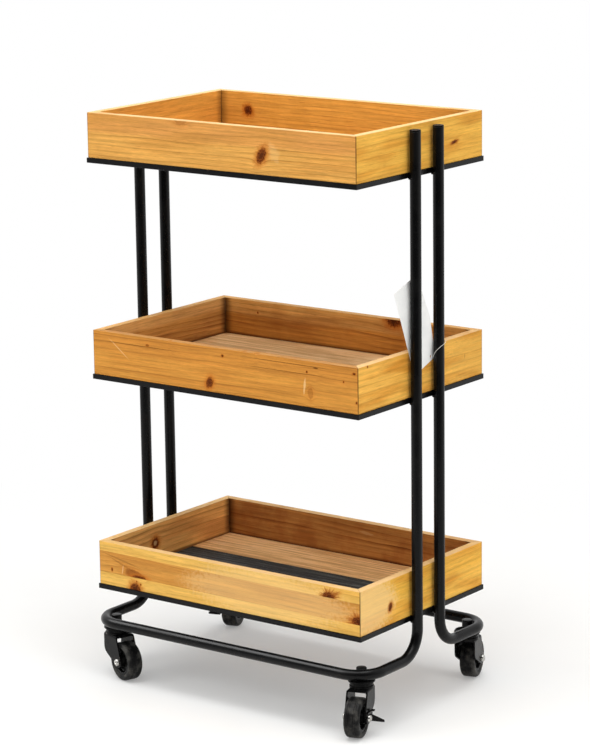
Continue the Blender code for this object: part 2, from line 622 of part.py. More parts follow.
def build_castors():
    """Four sockets and castors, two of them with a brake pedal."""
    socket, stem, fork = socket_mesh(), stem_mesh(), fork_mesh()
    hub, tyre, pedal = hub_mesh(), tyre_mesh(), pedal_mesh()
    plain_axle = axle_mesh(FORK_OUTER + FIT_GAP)
    brake_axle = axle_mesh(PEDAL_OUTER + FIT_GAP)
    castors = [("front_left", -1.0, -1.0, FRONT_LEFT_HEADING, False),
               ("front_right", 1.0, -1.0, FRONT_RIGHT_HEADING, True),
               ("rear_right", 1.0, 1.0, REAR_RIGHT_HEADING, False),
               ("rear_left", -1.0, 1.0, REAR_LEFT_HEADING, True)]
    for corner, across, outward, heading, braked in castors:
        foot = (across * SWIVEL_X, outward * SWIVEL_Y, 0.0)
        swivel = bpy.data.objects.new(corner + "_swivel", None)
        swivel.location = foot
        swivel.rotation_euler = (0.0, 0.0, heading)
        bpy.context.scene.collection.objects.link(swivel)
        axle_place = (CASTOR_TRAIL, 0.0, WHEEL_RADIUS)
        place(corner + "_castor_socket", socket, "black_tube", foot)
        place(corner + "_castor_stem", stem, "black_steel", foot)
        place(corner + "_castor_fork", fork, "black_steel", parent=swivel)
        axle = brake_axle if braked else plain_axle
        place(corner + "_castor_axle", axle, "zinc", axle_place, parent=swivel)
        place(corner + "_wheel_hub", hub, "black_plastic", axle_place, parent=swivel)
        place(corner + "_tyre", tyre, "black_rubber", axle_place, parent=swivel)
        if braked:
            place(corner + "_brake_pedal", pedal, "black_steel", axle_place, parent=swivel)


def tag_frame():
    """Place of the tag: its own X runs across it, Y up it and Z out through its face."""
    stand_up = Matrix.Rotation(math.radians(90.0), 4, "Z") @ Matrix.Rotation(math.radians(90.0), 4, "X")
    middle = (POST_X - TUBE_RADIUS - FIT_GAP - TAG_THICKNESS / 2.0, TAG_CENTRE_Y,
              LOWER_RAIL_BOTTOM + TRAY_SPACING + TAG_CENTRE_HEIGHT)
    return Matrix.Translation(middle) @ Matrix.Rotation(TAG_TILT, 4, "X") @ stand_up


def build_swing_tag():
    """Bare card between the right end board of the middle tray and the posts, and its thin loop."""
    half_width = TAG_WIDTH / 2.0 - TAG_CORNER
    half_length = TAG_LENGTH / 2.0 - TAG_CORNER
    outline = []
    for index, (across, up) in enumerate(((1.0, 1.0), (-1.0, 1.0), (-1.0, -1.0), (1.0, -1.0))):
        for step in range(TAG_CORNER_STEPS + 1):
            angle = math.radians(90.0) * (index + step / TAG_CORNER_STEPS)
            outline.append((across * half_width + TAG_CORNER * math.cos(angle),
                            up * half_length + TAG_CORNER * math.sin(angle)))
    frame = tag_frame()
    hole_place = Vector((TAG_WIDTH / 2.0 - TAG_HOLE_SIDE_INSET,
                         TAG_HOLE_END_INSET - TAG_LENGTH / 2.0, 0.0))
    card = prism("swing_tag", outline, -TAG_THICKNESS / 2.0, TAG_THICKNESS / 2.0)
    hole = prism("hole", circle(hole_place.x, hole_place.y, TAG_HOLE_RADIUS), -CUT_OVERRUN, CUT_OVERRUN)
    card = combine(card, hole, "DIFFERENCE")
    card.transform(frame.to_3x3().to_4x4())
    place("swing_tag", card, "paper", frame.translation)
    place("tag_loop", tag_loop_mesh(frame @ hole_place), "paper")


def tag_loop_mesh(hole):
    """Closed thin ring: through the hole, behind the rear right post, round it and back in front."""
    behind = TRAY_LENGTH / 2.0 + FIT_GAP + TAG_LOOP_RADIUS
    before = POST_X - TUBE_RADIUS + TAG_LOOP_RADIUS
    free_radius = TUBE_RADIUS + TAG_LOOP_CLEARANCE
    points = [Vector((before, hole.y - TAG_HOLE_RADIUS / 2.0, hole.z)),
              Vector((behind, hole.y + TAG_HOLE_RADIUS / 2.0, hole.z))]
    for step in range(TAG_LOOP_STEPS + 1):
        angle = TAG_LOOP_START - TAG_LOOP_TURN * step / TAG_LOOP_STEPS
        x = max(POST_X + free_radius * math.cos(angle), behind)
        y = POST_HALF_PITCH + free_radius * math.sin(angle)
        arch = math.sin(math.pi * step / TAG_LOOP_STEPS)
        rise = TAG_LOOP_RISE * max(arch, 0.0) ** TAG_LOOP_FULLNESS
        points.append(Vector((x, y, hole.z + rise)))
    return tube_mesh("tag_loop", points, TAG_LOOP_RADIUS, 4, closed=True)


def main():
    """Build the whole stand."""
    clear_scene()
    build_hoops()
    for tier, label in enumerate(("lower", "middle", "top")):
        build_tray(label, LOWER_RAIL_BOTTOM + tier * TRAY_SPACING)
    build_floors()
    build_castors()
    build_swing_tag()


main()
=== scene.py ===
"""Looks of the rolling shelf stand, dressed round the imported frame.

Metres, +Z up. The front of the stand is -Y and its left end is -X, as in the frame.
"""

from __future__ import annotations

import logging
import math
from collections.abc import Iterable, Sequence
from dataclasses import dataclass, field
from enum import Enum
from typing import Union

import bmesh
import bpy
from mathutils import Matrix, Vector, noise


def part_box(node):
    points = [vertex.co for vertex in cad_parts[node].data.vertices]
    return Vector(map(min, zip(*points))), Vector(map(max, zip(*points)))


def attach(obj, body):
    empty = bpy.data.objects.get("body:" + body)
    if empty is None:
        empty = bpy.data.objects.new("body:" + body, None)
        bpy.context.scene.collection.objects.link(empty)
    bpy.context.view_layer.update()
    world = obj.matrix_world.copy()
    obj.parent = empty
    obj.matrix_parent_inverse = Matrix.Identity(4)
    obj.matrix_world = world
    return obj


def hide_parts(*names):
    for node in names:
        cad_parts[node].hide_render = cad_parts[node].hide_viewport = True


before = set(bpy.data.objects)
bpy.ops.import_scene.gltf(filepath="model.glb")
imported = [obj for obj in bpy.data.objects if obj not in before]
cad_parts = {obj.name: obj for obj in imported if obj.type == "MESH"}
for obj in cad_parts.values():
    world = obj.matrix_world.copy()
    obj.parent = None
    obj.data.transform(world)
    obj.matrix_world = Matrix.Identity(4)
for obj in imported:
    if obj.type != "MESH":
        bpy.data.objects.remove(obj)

LOG = logging.getLogger("shelf_stand")

Colour = tuple[float, float, float]
Source = Union[bpy.types.NodeSocket, float, Sequence[float]]
Profile = Sequence[tuple[float, float]]

MERGE = 1e-6                # points closer than this are one point
OVERRUN = 0.002             # how far a cutting shape reaches past what it cuts
RIGHT_ANGLE = math.radians(90.0)


class Side(Enum):
    """The four boards of a tray, counter-clockwise from the front."""

    FRONT = 0
    RIGHT = 1
    REAR = 2
    LEFT = 3

    @property
    def label(self) -> str:
        """The word for this side in the names of the pieces."""
        return self.name.lower()

    @property
    def turn(self) -> float:
        """Angle from the front board round to this one."""
        return self.value * RIGHT_ANGLE


class Slot(Enum):
    """Names of material slots, passed to the castor pieces and floor planks but read by nothing."""

    TUBE = "black_tube"
    PLASTIC = "black_plastic"
    STEEL = "black_steel"
    RUBBER = "black_rubber"
    PINE = "pine"
    BROWN_FLOOR = "brown_floor"
    BLACK_FLOOR = "black_floor"
    ZINC = "zinc"
    PAPER = "paper"


class Recipe:
    """Wires shader nodes in one tree, so that a finish reads as a list of steps."""

    def __init__(self, tree: bpy.types.NodeTree) -> None:
        """Work in this tree.

        Args:
            tree: the tree of a material or of a group.
        """
        self.tree = tree

    def feed(self, socket: bpy.types.NodeSocket, value: Source) -> None:
        """Wire a socket to a source, or give it a fixed value.

        Args:
            socket: the input to set.
            value: an output to wire to it, or the number or colour that it holds.
        """
        if isinstance(value, bpy.types.NodeSocket):
            self.tree.links.new(value, socket)
        elif isinstance(value, tuple) and len(value) == 3 and socket.type == "RGBA":
            socket.default_value = (*value, 1.0)
        else:
            socket.default_value = value

    def node(self, kind: str, inputs: dict[str | int, Source] | None = None, **settings: object) -> bpy.types.Node:
        """Add a node.

        Args:
            kind: Blender's name for the node's type.
            inputs: values or sources by socket.
            settings: attributes of the node.

        Returns:
            The new node.
        """
        made = self.tree.nodes.new(kind)
        for key, value in settings.items():
            setattr(made, key, value)
        for key, value in (inputs or {}).items():
            self.feed(made.inputs[key], value)
        return made

    def math(self, operation: str, *values: Source, clamp: bool = False) -> bpy.types.NodeSocket:
        """Add a Math node.

        Args:
            operation: the node's operation.
            values: its operands, in order.
            clamp: keep the result between 0 and 1.

        Returns:
            The result.
        """
        inputs = dict(enumerate(values))
        return self.node("ShaderNodeMath", inputs, operation=operation, use_clamp=clamp).outputs[0]

    def vector(self, operation: str, *values: Source) -> bpy.types.NodeSocket:
        """Add a Vector Math node and return its vector."""
        return self.node("ShaderNodeVectorMath", dict(enumerate(values)), operation=operation).outputs[0]

    def step(self, value: Source, low: Source, high: Source) -> bpy.types.NodeSocket:
        """Smooth rise of a value from 0 at low to 1 at high, or the other way round if low is the higher."""
        inputs = {"Value": value, "From Min": low, "From Max": high}
        return self.node("ShaderNodeMapRange", inputs, interpolation_type="SMOOTHSTEP").outputs[0]

    def spread(self, value: Source, low: float, high: float) -> bpy.types.NodeSocket:
        """Stretch a value that runs from 0 to 1 so that it runs from low to high."""
        return self.node("ShaderNodeMapRange", {"Value": value, "To Min": low, "To Max": high}).outputs[0]

    def mix(self, factor: Source, under: Source, over: Source, how: str = "MIX") -> bpy.types.NodeSocket:
        """Lay one colour over another.

        Args:
            factor: how much of the upper colour shows.
            under: the colour below.
            over: the colour above.
            how: the Mix node's blend type.

        Returns:
            The mixed colour.
        """
        inputs = {0: factor, 6: under, 7: over}
        return self.node("ShaderNodeMix", inputs, data_type="RGBA", blend_type=how).outputs[2]

    def noise(self, place: Source, stretch: Sequence[float], detail: float = 2.0,
              rough: float = 0.5) -> bpy.types.NodeSocket:
        """Noise whose grains are stretched unequally.

        Args:
            place: where it is read.
            stretch: grains per metre along each axis.
            detail: octaves.
            rough: how strong each next octave is.

        Returns:
            A value about 0.5.
        """
        scaled = self.vector("MULTIPLY", place, tuple(stretch))
        inputs = {"Vector": scaled, "Scale": 1.0, "Detail": detail, "Roughness": rough}
        return self.node("ShaderNodeTexNoise", inputs).outputs[0]

    def split(self, place: Source) -> tuple[bpy.types.NodeSocket, ...]:
        """The X, Y and Z of a vector."""
        return tuple(self.node("ShaderNodeSeparateXYZ", {0: place}).outputs)

    def object_place(self) -> bpy.types.NodeSocket:
        """The object coordinates of the surface."""
        return self.node("ShaderNodeTexCoord").outputs["Object"]


class Effect:
    """A shader node group that several finishes share, built the first time that it is placed."""

    name = ""
    inputs: tuple[tuple[str, str, object], ...] = ()
    outputs: tuple[tuple[str, str], ...] = ()

    def fill(self, recipe: Recipe, given: bpy.types.NodeInputs) -> dict[str, bpy.types.NodeSocket]:
        """Add the group's nodes.

        Args:
            recipe: wires the group's tree.
            given: the group's own inputs.

        Returns:
            What each output gives.
        """
        raise NotImplementedError

    def tree(self) -> bpy.types.NodeTree:
        """The group's tree, made if it isn't there yet."""
        found = bpy.data.node_groups.get(self.name)
        if found:
            return found
        tree = bpy.data.node_groups.new(self.name, "ShaderNodeTree")
        for label, kind, default in self.inputs:
            socket = tree.interface.new_socket(name=label, in_out="INPUT", socket_type="NodeSocket" + kind)
            if default is not None:
                socket.default_value = default
        for label, kind in self.outputs:
            tree.interface.new_socket(name=label, in_out="OUTPUT", socket_type="NodeSocket" + kind)
        recipe = Recipe(tree)
        results = self.fill(recipe, recipe.node("NodeGroupInput").outputs)
        leave = recipe.node("NodeGroupOutput")
        for label, source in results.items():
            recipe.feed(leave.inputs[label], source)
        return tree

    def place(self, recipe: Recipe, **values: Source) -> bpy.types.NodeOutputs:
        """Put the group in a material.

        Args:
            recipe: wires that material.
            values: what its inputs get, by their names in small letters with underscores.

        Returns:
            The group's outputs.
        """
        made = recipe.node("ShaderNodeGroup", node_tree=self.tree())
        for label, value in values.items():
            recipe.feed(made.inputs[label.replace("_", " ").title()], value)
        return made.outputs


class RingFigure(Effect):
    """Growth rings of a log, as a board cut from it shows them.

    Place is X along the board, Y through it and Z up its face. The pith runs along X, at a slope, and may dive
    through the board.
    """

    name = "ring_figure"
    inputs = (("Place", "Vector", None), ("Seed", "Float", 0.0), ("Pith Up", "Float", -0.08),
              ("Pith Through", "Float", 0.03), ("Slope", "Float", 0.02), ("Dive", "Float", 0.0),
              ("Spacing", "Float", 0.005), ("Wobble", "Float", 0.01), ("Bend", "Float", 0.0))
    outputs = (("Late", "Float"), ("Line", "Float"), ("Streak", "Float"), ("Fibre", "Float"), ("Pore", "Float"),
               ("Cloud", "Float"))

    def fill(self, recipe: Recipe, given: bpy.types.NodeInputs) -> dict[str, bpy.types.NodeSocket]:
        """Late is the dark wood of each ring and Line its hard edge.

        Streak, Fibre and Pore are finer and finer grain, and Cloud slow changes of tone.
        """
        seed = recipe.node("ShaderNodeCombineXYZ", {0: given["Seed"], 1: given["Seed"]}).outputs[0]
        place = recipe.vector("ADD", given["Place"], seed)
        slow = recipe.noise(place, (3.0, 16.0, 16.0))
        ripple = recipe.noise(place, (14.0, 90.0, 90.0), 3.0)
        along, through, up = recipe.split(given["Place"])
        drift = recipe.math("MULTIPLY", along, given["Slope"])
        height = recipe.math("SUBTRACT", recipe.math("ADD", up, given["Bend"]), drift)
        rise = recipe.math("SUBTRACT", height, given["Pith Up"])
        pith = recipe.math("MULTIPLY_ADD", along, given["Dive"], given["Pith Through"])
        depth = recipe.math("SUBTRACT", through, pith)
        squares = recipe.math("ADD", recipe.math("POWER", rise, 2.0), recipe.math("POWER", depth, 2.0))
        shake = recipe.math("ADD", recipe.math("SUBTRACT", slow, 0.5),
                            recipe.math("MULTIPLY", recipe.math("SUBTRACT", ripple, 0.5), 0.22))
        radius = recipe.math("MULTIPLY_ADD", shake, given["Wobble"], recipe.math("SQRT", squares))
        rings = recipe.math("DIVIDE", radius, given["Spacing"])
        year = recipe.node("ShaderNodeTexWhiteNoise", {"W": recipe.math("FLOOR", rings)},
                           noise_dimensions="1D").outputs["Value"]
        fading = recipe.step(recipe.noise(place, (6.0, 40.0, 40.0), 2.0), 0.28, 0.66)
        strength = recipe.math("MULTIPLY", recipe.spread(year, 0.2, 1.0), recipe.spread(fading, 0.25, 1.0))
        phase = recipe.math("FRACT", rings)
        late = recipe.math("MULTIPLY", recipe.step(phase, 0.25, 0.92), recipe.step(phase, 1.0, 0.93))
        line = recipe.math("MULTIPLY", recipe.step(phase, 0.72, 0.93), recipe.step(phase, 1.0, 0.95))
        pores = recipe.noise(place, (45.0, 620.0, 620.0), 2.0)
        streak = recipe.noise(place, (9.0, 260.0, 260.0), 5.0, 0.66)
        fibre = recipe.noise(place, (80.0, 1500.0, 1500.0), 2.0, 0.6)
        return {"Late": recipe.math("MULTIPLY", late, strength), "Line": recipe.math("MULTIPLY", line, strength),
                "Streak": recipe.node("ShaderNodeMapRange", {"Value": streak, "From Min": 0.3, "From Max": 0.7}).outputs[0],
                "Fibre": recipe.node("ShaderNodeMapRange", {"Value": fibre, "From Min": 0.25, "From Max": 0.75}).outputs[0],
                "Pore": recipe.step(pores, 0.60, 0.70),
                "Cloud": recipe.noise(place, (7.0, 40.0, 40.0), 2.0)}


class KnotFigure(Effect):
    """A knot in a board, with the grain that flows round it."""

    name = "knot_figure"
    inputs = (("Place", "Vector", None), ("Along", "Float", 0.0), ("Up", "Float", 0.03), ("Radius", "Float", 0.004),
              ("Stretch", "Float", 1.0), ("Lean", "Float", 0.0), ("Rays", "Float", 0.0))
    outputs = (("Core", "Float"), ("Rim", "Float"), ("Eye", "Float"), ("Fleck", "Float"), ("Halo", "Float"),
               ("Ray", "Float"), ("Bend", "Float"))

    def fill(self, recipe: Recipe, given: bpy.types.NodeInputs) -> dict[str, bpy.types.NodeSocket]:
        """Core is the knot, Rim its dark edge, Eye its middle and Fleck specks in it.
        """
        along, _, up = recipe.split(given["Place"])
        rise = recipe.math("SUBTRACT", up, given["Up"])
        leaning = recipe.math("MULTIPLY_ADD", rise, given["Lean"], recipe.math("SUBTRACT", along, given["Along"]))
        reach = recipe.math("DIVIDE", leaning, given["Stretch"])
        offset = recipe.node("ShaderNodeCombineXYZ", {0: reach, 2: rise}).outputs[0]
        heading = recipe.vector("NORMALIZE", offset)
        span = recipe.node("ShaderNodeVectorMath", {0: offset}, operation="LENGTH").outputs["Value"]
        round_distance = recipe.math("DIVIDE", span, given["Radius"])
        shifted = recipe.node("ShaderNodeVectorMath", {0: heading, 1: given["Along"]}, operation="ADD").outputs[0]
        star = recipe.noise(shifted, (3.6, 3.6, 3.6), 3.0, 0.6)
        warp = recipe.noise(given["Place"], (260.0, 260.0, 260.0), 3.0, 0.6)
        distance = recipe.math("MULTIPLY_ADD", recipe.math("SUBTRACT", warp, 0.5), 1.0, round_distance)
        rim = recipe.math("MULTIPLY", recipe.step(distance, 0.55, 0.92), recipe.step(distance, 1.25, 0.95))
        near = recipe.math("MAXIMUM", recipe.math("POWER", round_distance, 2.0), 1.0)
        spikes = recipe.math("MULTIPLY", recipe.math("SUBTRACT", star, 0.44), given["Rays"])
        spread = recipe.math("DIVIDE", distance, recipe.math("MULTIPLY_ADD", spikes, 4.0, 1.0))
        return {"Core": recipe.step(distance, 1.15, 0.75), "Rim": rim, "Eye": recipe.step(distance, 0.62, 0.30),
                "Fleck": recipe.step(recipe.noise(given["Place"], (520.0, 520.0, 520.0), 3.0), 0.42, 0.56),
                "Halo": recipe.step(spread, 2.2, 0.8),
                "Ray": recipe.math("MULTIPLY", recipe.step(spread, 1.75, 1.05), given["Rays"], clamp=True),
                "Bend": recipe.math("DIVIDE", recipe.math("MULTIPLY", rise, -1.0), near)}


class LineMark(Effect):
    """A short straight scratch, split or dent on a face."""

    name = "line_mark"
    inputs = (("Place", "Vector", None), ("Along", "Float", 0.0), ("Up", "Float", 0.03),
              ("Half Length", "Float", 0.01), ("Width", "Float", 0.001), ("Turn", "Float", 0.0))
    outputs = (("Mask", "Float"),)

    def fill(self, recipe: Recipe, given: bpy.types.NodeInputs) -> dict[str, bpy.types.NodeSocket]:
        """Mask is 1 on the mark, which thins out towards its ends."""
        middle = recipe.node("ShaderNodeCombineXYZ", {0: given["Along"], 2: given["Up"]}).outputs[0]
        turned = recipe.node("ShaderNodeVectorRotate", {"Vector": given["Place"], "Center": middle,
                                                        "Angle": given["Turn"]}, rotation_type="Y_AXIS").outputs[0]
        along, _, up = recipe.split(recipe.vector("SUBTRACT", turned, middle))
        share = recipe.math("DIVIDE", recipe.math("ABSOLUTE", along), given["Half Length"])
        wander = recipe.math("SUBTRACT", recipe.noise(given["Place"], (220.0, 220.0, 220.0), 2.0), 0.5)
        shifted = recipe.math("MULTIPLY_ADD", wander, given["Width"], up)
        across = recipe.math("DIVIDE", recipe.math("ABSOLUTE", shifted), given["Width"])
        body = recipe.step(recipe.math("ADD", across, recipe.math("POWER", share, 2.0)), 1.0, 0.45)
        return {"Mask": body}


class Patina(Effect):
    """Uneven dust and handling: soft patches with fine specks."""

    name = "patina"
    inputs = (("Place", "Vector", None), ("Patches", "Float", 30.0), ("Specks", "Float", 900.0))
    outputs = (("Patch", "Float"), ("Speck", "Float"))

    def fill(self, recipe: Recipe, given: bpy.types.NodeInputs) -> dict[str, bpy.types.NodeSocket]:
        """Patch is soft and wide, Speck is small and rare."""
        wide = recipe.node("ShaderNodeTexNoise", {"Vector": given["Place"], "Scale": given["Patches"],
                                                  "Detail": 4.0, "Roughness": 0.6}).outputs[0]
        small = recipe.node("ShaderNodeTexNoise", {"Vector": given["Place"], "Scale": given["Specks"],
                                                   "Detail": 2.0, "Roughness": 0.5}).outputs[0]
        return {"Patch": recipe.step(wide, 0.4, 0.7), "Speck": recipe.step(small, 0.66, 0.74)}


class SurfaceGrain(Effect):
    """Fine unevenness of paint, plastic, rubber or paper, as a normal."""

    name = "surface_grain"
    inputs = (("Place", "Vector", None), ("Scale", "Float", 1500.0), ("Strength", "Float", 0.1),
              ("Depth", "Float", 0.0001))
    outputs = (("Normal", "Vector"),)

    def fill(self, recipe: Recipe, given: bpy.types.NodeInputs) -> dict[str, bpy.types.NodeSocket]:
        """Normal leans with the grain."""
        grain = recipe.node("ShaderNodeTexNoise", {"Vector": given["Place"], "Scale": given["Scale"],
                                                   "Detail": 3.0, "Roughness": 0.55}).outputs[0]
        bump = recipe.node("ShaderNodeBump", {"Height": grain, "Strength": given["Strength"],
                                              "Distance": given["Depth"]})
        return {"Normal": bump.outputs[0]}


RINGS = RingFigure()
KNOT = KnotFigure()
MARK = LineMark()
PATINA = Patina()
GRAIN = SurfaceGrain()


def new_material(name: str) -> tuple[bpy.types.Material, Recipe, bpy.types.Node]:
    """Start a material.

    Args:
        name: the material's name.

    Returns:
        The material, a recipe that works in it and its shader.
    """
    material = bpy.data.materials.new(name)
    material.use_nodes = True
    return material, Recipe(material.node_tree), material.node_tree.nodes["Principled BSDF"]


@dataclass(frozen=True)
class Knot:
    """A knot or pin hole, placed from the middle of its board and above the board's foot.

    A glued joint may cut it, so that it shows only between two heights.
    """

    along: float
    up: float
    radius: float
    stretch: float = 0.8
    lean: float = 0.0
    dark: float = 1.0
    rays: float = 0.3
    eye: float = 0.0
    above: float = -1.0
    below: float = 1.0


@dataclass(frozen=True)
class ScarOrShade:
    """A scratch, split or soft patch on a board, dark or pale, or a soft dark patch of painted shade."""

    along: float
    up: float
    half_length: float
    width: float
    turn: float
    pale: bool = False
    strength: float = 0.75


@dataclass(frozen=True)
class Stave:
    """One strip of an edge-glued board, from a height upwards, cut from its own log."""

    early: Colour
    late: Colour
    start: float = -1.0
    tilt: float = 0.0
    seed: float = 0.0
    spacing: float = 0.0052
    pith_up: float = -0.07
    pith_through: float = 0.04
    slope: float = 0.02
    dive: float = 0.0
    wobble: float = 0.012
    heart: Colour = (0.60, 0.27, 0.07)
    heart_from: float = 1.0
    figure: float = 1.0
    clouds: float = 0.6


@dataclass(frozen=True)
class BoardPlace:
    """Where one tray board lies, so that its grain follows it."""

    turn: float
    outer: float
    foot: float
    length: float
    height: float
    thickness: float

    def coordinates(self, recipe: Recipe) -> bpy.types.NodeSocket:
        """X along the board from its middle, Y in from its outer face and Z above its foot."""
        inputs = {"Vector": recipe.object_place(), "Location": (0.0, self.outer, -self.foot),
                  "Rotation": (0.0, 0.0, -self.turn)}
        return recipe.node("ShaderNodeMapping", inputs).outputs[0]


@dataclass(frozen=True)
class Pine:
    """Honey-stained and varnished pine of one board."""

    staves: tuple[Stave, ...]
    knots: tuple[Knot, ...] = ()
    scars_and_shades: tuple[ScarOrShade, ...] = ()
    inside: Colour = (0.8, 0.62, 0.5)
    # how strongly painted shade mixed with grime darkens the inner corners and the foot of the inner face
    shade_and_soiling: float = 0.5
    edge: Colour = (0.84, 0.55, 0.25)
    streaks: float = 0.85

    # dark of the knot cores and of dark marks, also the tone of patches of painted shade
    CORE_AND_SHADE: Colour = (0.040, 0.004, 0.0005)
    FLECK: Colour = (0.26, 0.062, 0.006)
    RIM: Colour = (0.14, 0.024, 0.003)
    STAIN: Colour = (0.50, 0.135, 0.012)
    PALE: Colour = (0.85, 0.60, 0.28)
    # dark grime of the joints and specks, also the painted shade of the inner corners and foot
    GRIME_AND_SHADE: Colour = (0.030, 0.009, 0.003)
    LINE: Colour = (0.20, 0.060, 0.010)

    def wood(self, recipe: Recipe, board: BoardPlace, place: Source,
             bend: Source) -> tuple[Source, bpy.types.NodeOutputs]:
        """The clear wood of every stave.

        Args:
            recipe: wires the board's material.
            board: where the board lies.
            place: the board's coordinates.
            bend: how far the knots lift the rings.

        Returns:
            The colour, and the ring figure of the lowest stave for the fine grain.
        """
        along, _, up = recipe.split(place)
        colour: Source = self.staves[0].early
        figures = []
        for stave in self.staves:
            rings = RINGS.place(recipe, place=place, seed=stave.seed, pith_up=stave.pith_up, spacing=stave.spacing,
                                pith_through=stave.pith_through, slope=stave.slope, dive=stave.dive,
                                wobble=stave.wobble, bend=bend)
            figures.append(rings)
            tone = recipe.mix(recipe.math("MULTIPLY", rings["Late"], 0.9 * stave.figure), stave.early, stave.late)
            wavy = recipe.math("MULTIPLY_ADD", rings["Cloud"], 0.014, up)
            start = stave.heart_from * board.height + 0.007
            heart = recipe.step(wavy, start, start + 0.008)
            tone = recipe.mix(recipe.math("MULTIPLY", heart, 0.7), tone, stave.heart)
            cloud = recipe.math("MULTIPLY", recipe.step(rings["Cloud"], 0.43, 0.68), stave.clouds)
            tone = recipe.mix(cloud, tone, stave.late)
            tone = recipe.mix(recipe.math("MULTIPLY", rings["Line"], 0.45 * stave.figure), tone, self.LINE)
            above = recipe.math("MULTIPLY_ADD", along, stave.tilt, stave.start)
            joint = recipe.step(recipe.math("SUBTRACT", up, above), -0.0002, 0.0002)
            colour = recipe.mix(joint, colour, tone)
        return colour, figures[0]

    def material(self, name: str, board: BoardPlace) -> bpy.types.Material:
        """The finish of one board.

        Args:
            name: the material's name.
            board: where the board lies.

        Returns:
            The material.
        """
        material, recipe, shader = new_material(name)
        place = board.coordinates(recipe)
        bend: Source = 0.0
        figures = []
        for knot in self.knots:
            figure = KNOT.place(recipe, place=place, along=knot.along, up=knot.up, radius=knot.radius,
                                stretch=knot.stretch, lean=knot.lean, rays=knot.rays)
            bend = recipe.math("ADD", bend, figure["Bend"])
            figures.append((knot, figure))
        colour, rings = self.wood(recipe, board, place, bend)
        for figure, low, high in (("Streak", 1.0 - 0.30 * self.streaks, 1.0 + 0.24 * self.streaks), ("Fibre", 0.86, 1.10)):
            shade = recipe.spread(rings[figure], low, high)
            grey = recipe.node("ShaderNodeCombineColor", {0: shade, 1: shade, 2: shade}).outputs[0]
            colour = recipe.mix(1.0, colour, grey, "MULTIPLY")
        colour = recipe.mix(recipe.math("MULTIPLY", rings["Pore"], 0.24), colour, self.LINE)
        colour = self.marked(recipe, place, colour, figures)
        colour = self.aged_and_shaded(recipe, board, place, colour)
        recipe.feed(shader.inputs["Base Color"], colour)
        recipe.feed(shader.inputs["Roughness"], recipe.spread(rings["Streak"], 0.42, 0.60))
        shader.inputs["Specular IOR Level"].default_value = 0.06
        relief = recipe.math("MULTIPLY_ADD", rings["Line"], -0.5, recipe.math("ADD", rings["Streak"], rings["Fibre"]))
        bump = recipe.node("ShaderNodeBump", {"Height": relief, "Strength": 0.28, "Distance": 0.0003})
        recipe.feed(shader.inputs["Normal"], bump.outputs[0])
        return material

    def marked(self, recipe: Recipe, place: Source, colour: Source,
               figures: Iterable[tuple[Knot, bpy.types.NodeOutputs]]) -> Source:
        """Lay the scars and the patches of painted shade, and then the knots, on the wood.

        Args:
            recipe: wires the board's material.
            place: the board's coordinates.
            colour: the clear wood.
            figures: each knot with its placed group.

        Returns:
            The marked wood.
        """
        _, _, up = recipe.split(place)
        # each mark is a real scratch, split or patch, or a soft patch of painted shade, in the dark or pale tone
        for scar_or_shade in self.scars_and_shades:
            mask = MARK.place(recipe, place=place, along=scar_or_shade.along, up=scar_or_shade.up, half_length=scar_or_shade.half_length,
                              width=scar_or_shade.width, turn=scar_or_shade.turn)["Mask"]
            tone = self.PALE if scar_or_shade.pale else self.CORE_AND_SHADE
            colour = recipe.mix(recipe.math("MULTIPLY", mask, scar_or_shade.strength), colour, tone)
        for knot, figure in figures:
            shown: Source = knot.dark
            if knot.above > 0.0:
                shown = recipe.math("MULTIPLY", recipe.step(up, knot.above, knot.above + 0.0004), shown)
            if knot.below < 1.0:
                shown = recipe.math("MULTIPLY", recipe.step(up, knot.below + 0.0004, knot.below), shown)
            inner = recipe.mix(recipe.math("MULTIPLY", figure["Fleck"], 0.65), self.CORE_AND_SHADE, self.FLECK)
            heart = self.PALE if knot.eye > 0.0 else self.CORE_AND_SHADE
            inner = recipe.mix(recipe.math("MULTIPLY", figure["Eye"], knot.eye or 0.85), inner, heart)
            for mask, strength, tone in ((figure["Halo"], 0.80, self.STAIN), (figure["Ray"], 0.65, self.RIM),
                                         (figure["Core"], 0.92, inner), (figure["Rim"], 0.45, self.RIM)):
                part = recipe.math("MULTIPLY", recipe.math("MULTIPLY", mask, strength), shown)
                colour = recipe.mix(part, colour, tone)
        return colour

    def aged_and_shaded(self, recipe: Recipe, board: BoardPlace, place: Source, colour: Source) -> Source:
        """Darken the joints and the inside, paint shade mixed with grime into the inner corners and along the inner
        foot, and bare the upper edge.

        Args:
            recipe: wires the board's material.
            board: where the board lies.
            place: the board's coordinates.
            colour: the marked wood.

        Returns:
            The aged wood, with painted shade in its inner corners and along its foot.
        """
        along, through, up = recipe.split(place)
        patina = PATINA.place(recipe, place=place, patches=28.0, specks=650.0)
        # the inner face is multiplied by the inside colour, so it comes out darker than the outer face
        inner = recipe.step(through, board.thickness - 0.0012, board.thickness - 0.0006)
        patchy = recipe.spread(patina["Patch"], 0.72, 1.0)
        colour = recipe.mix(recipe.math("MULTIPLY", inner, patchy), colour, self.inside, "MULTIPLY")
        reach = recipe.math("SUBTRACT", board.length / 2.0, recipe.math("ABSOLUTE", along))
        from_joint = recipe.math("SUBTRACT", reach, through)
        joint = recipe.math("MULTIPLY", recipe.step(from_joint, 0.0016, 0.0004), recipe.spread(patina["Patch"], 0.6, 1.0))
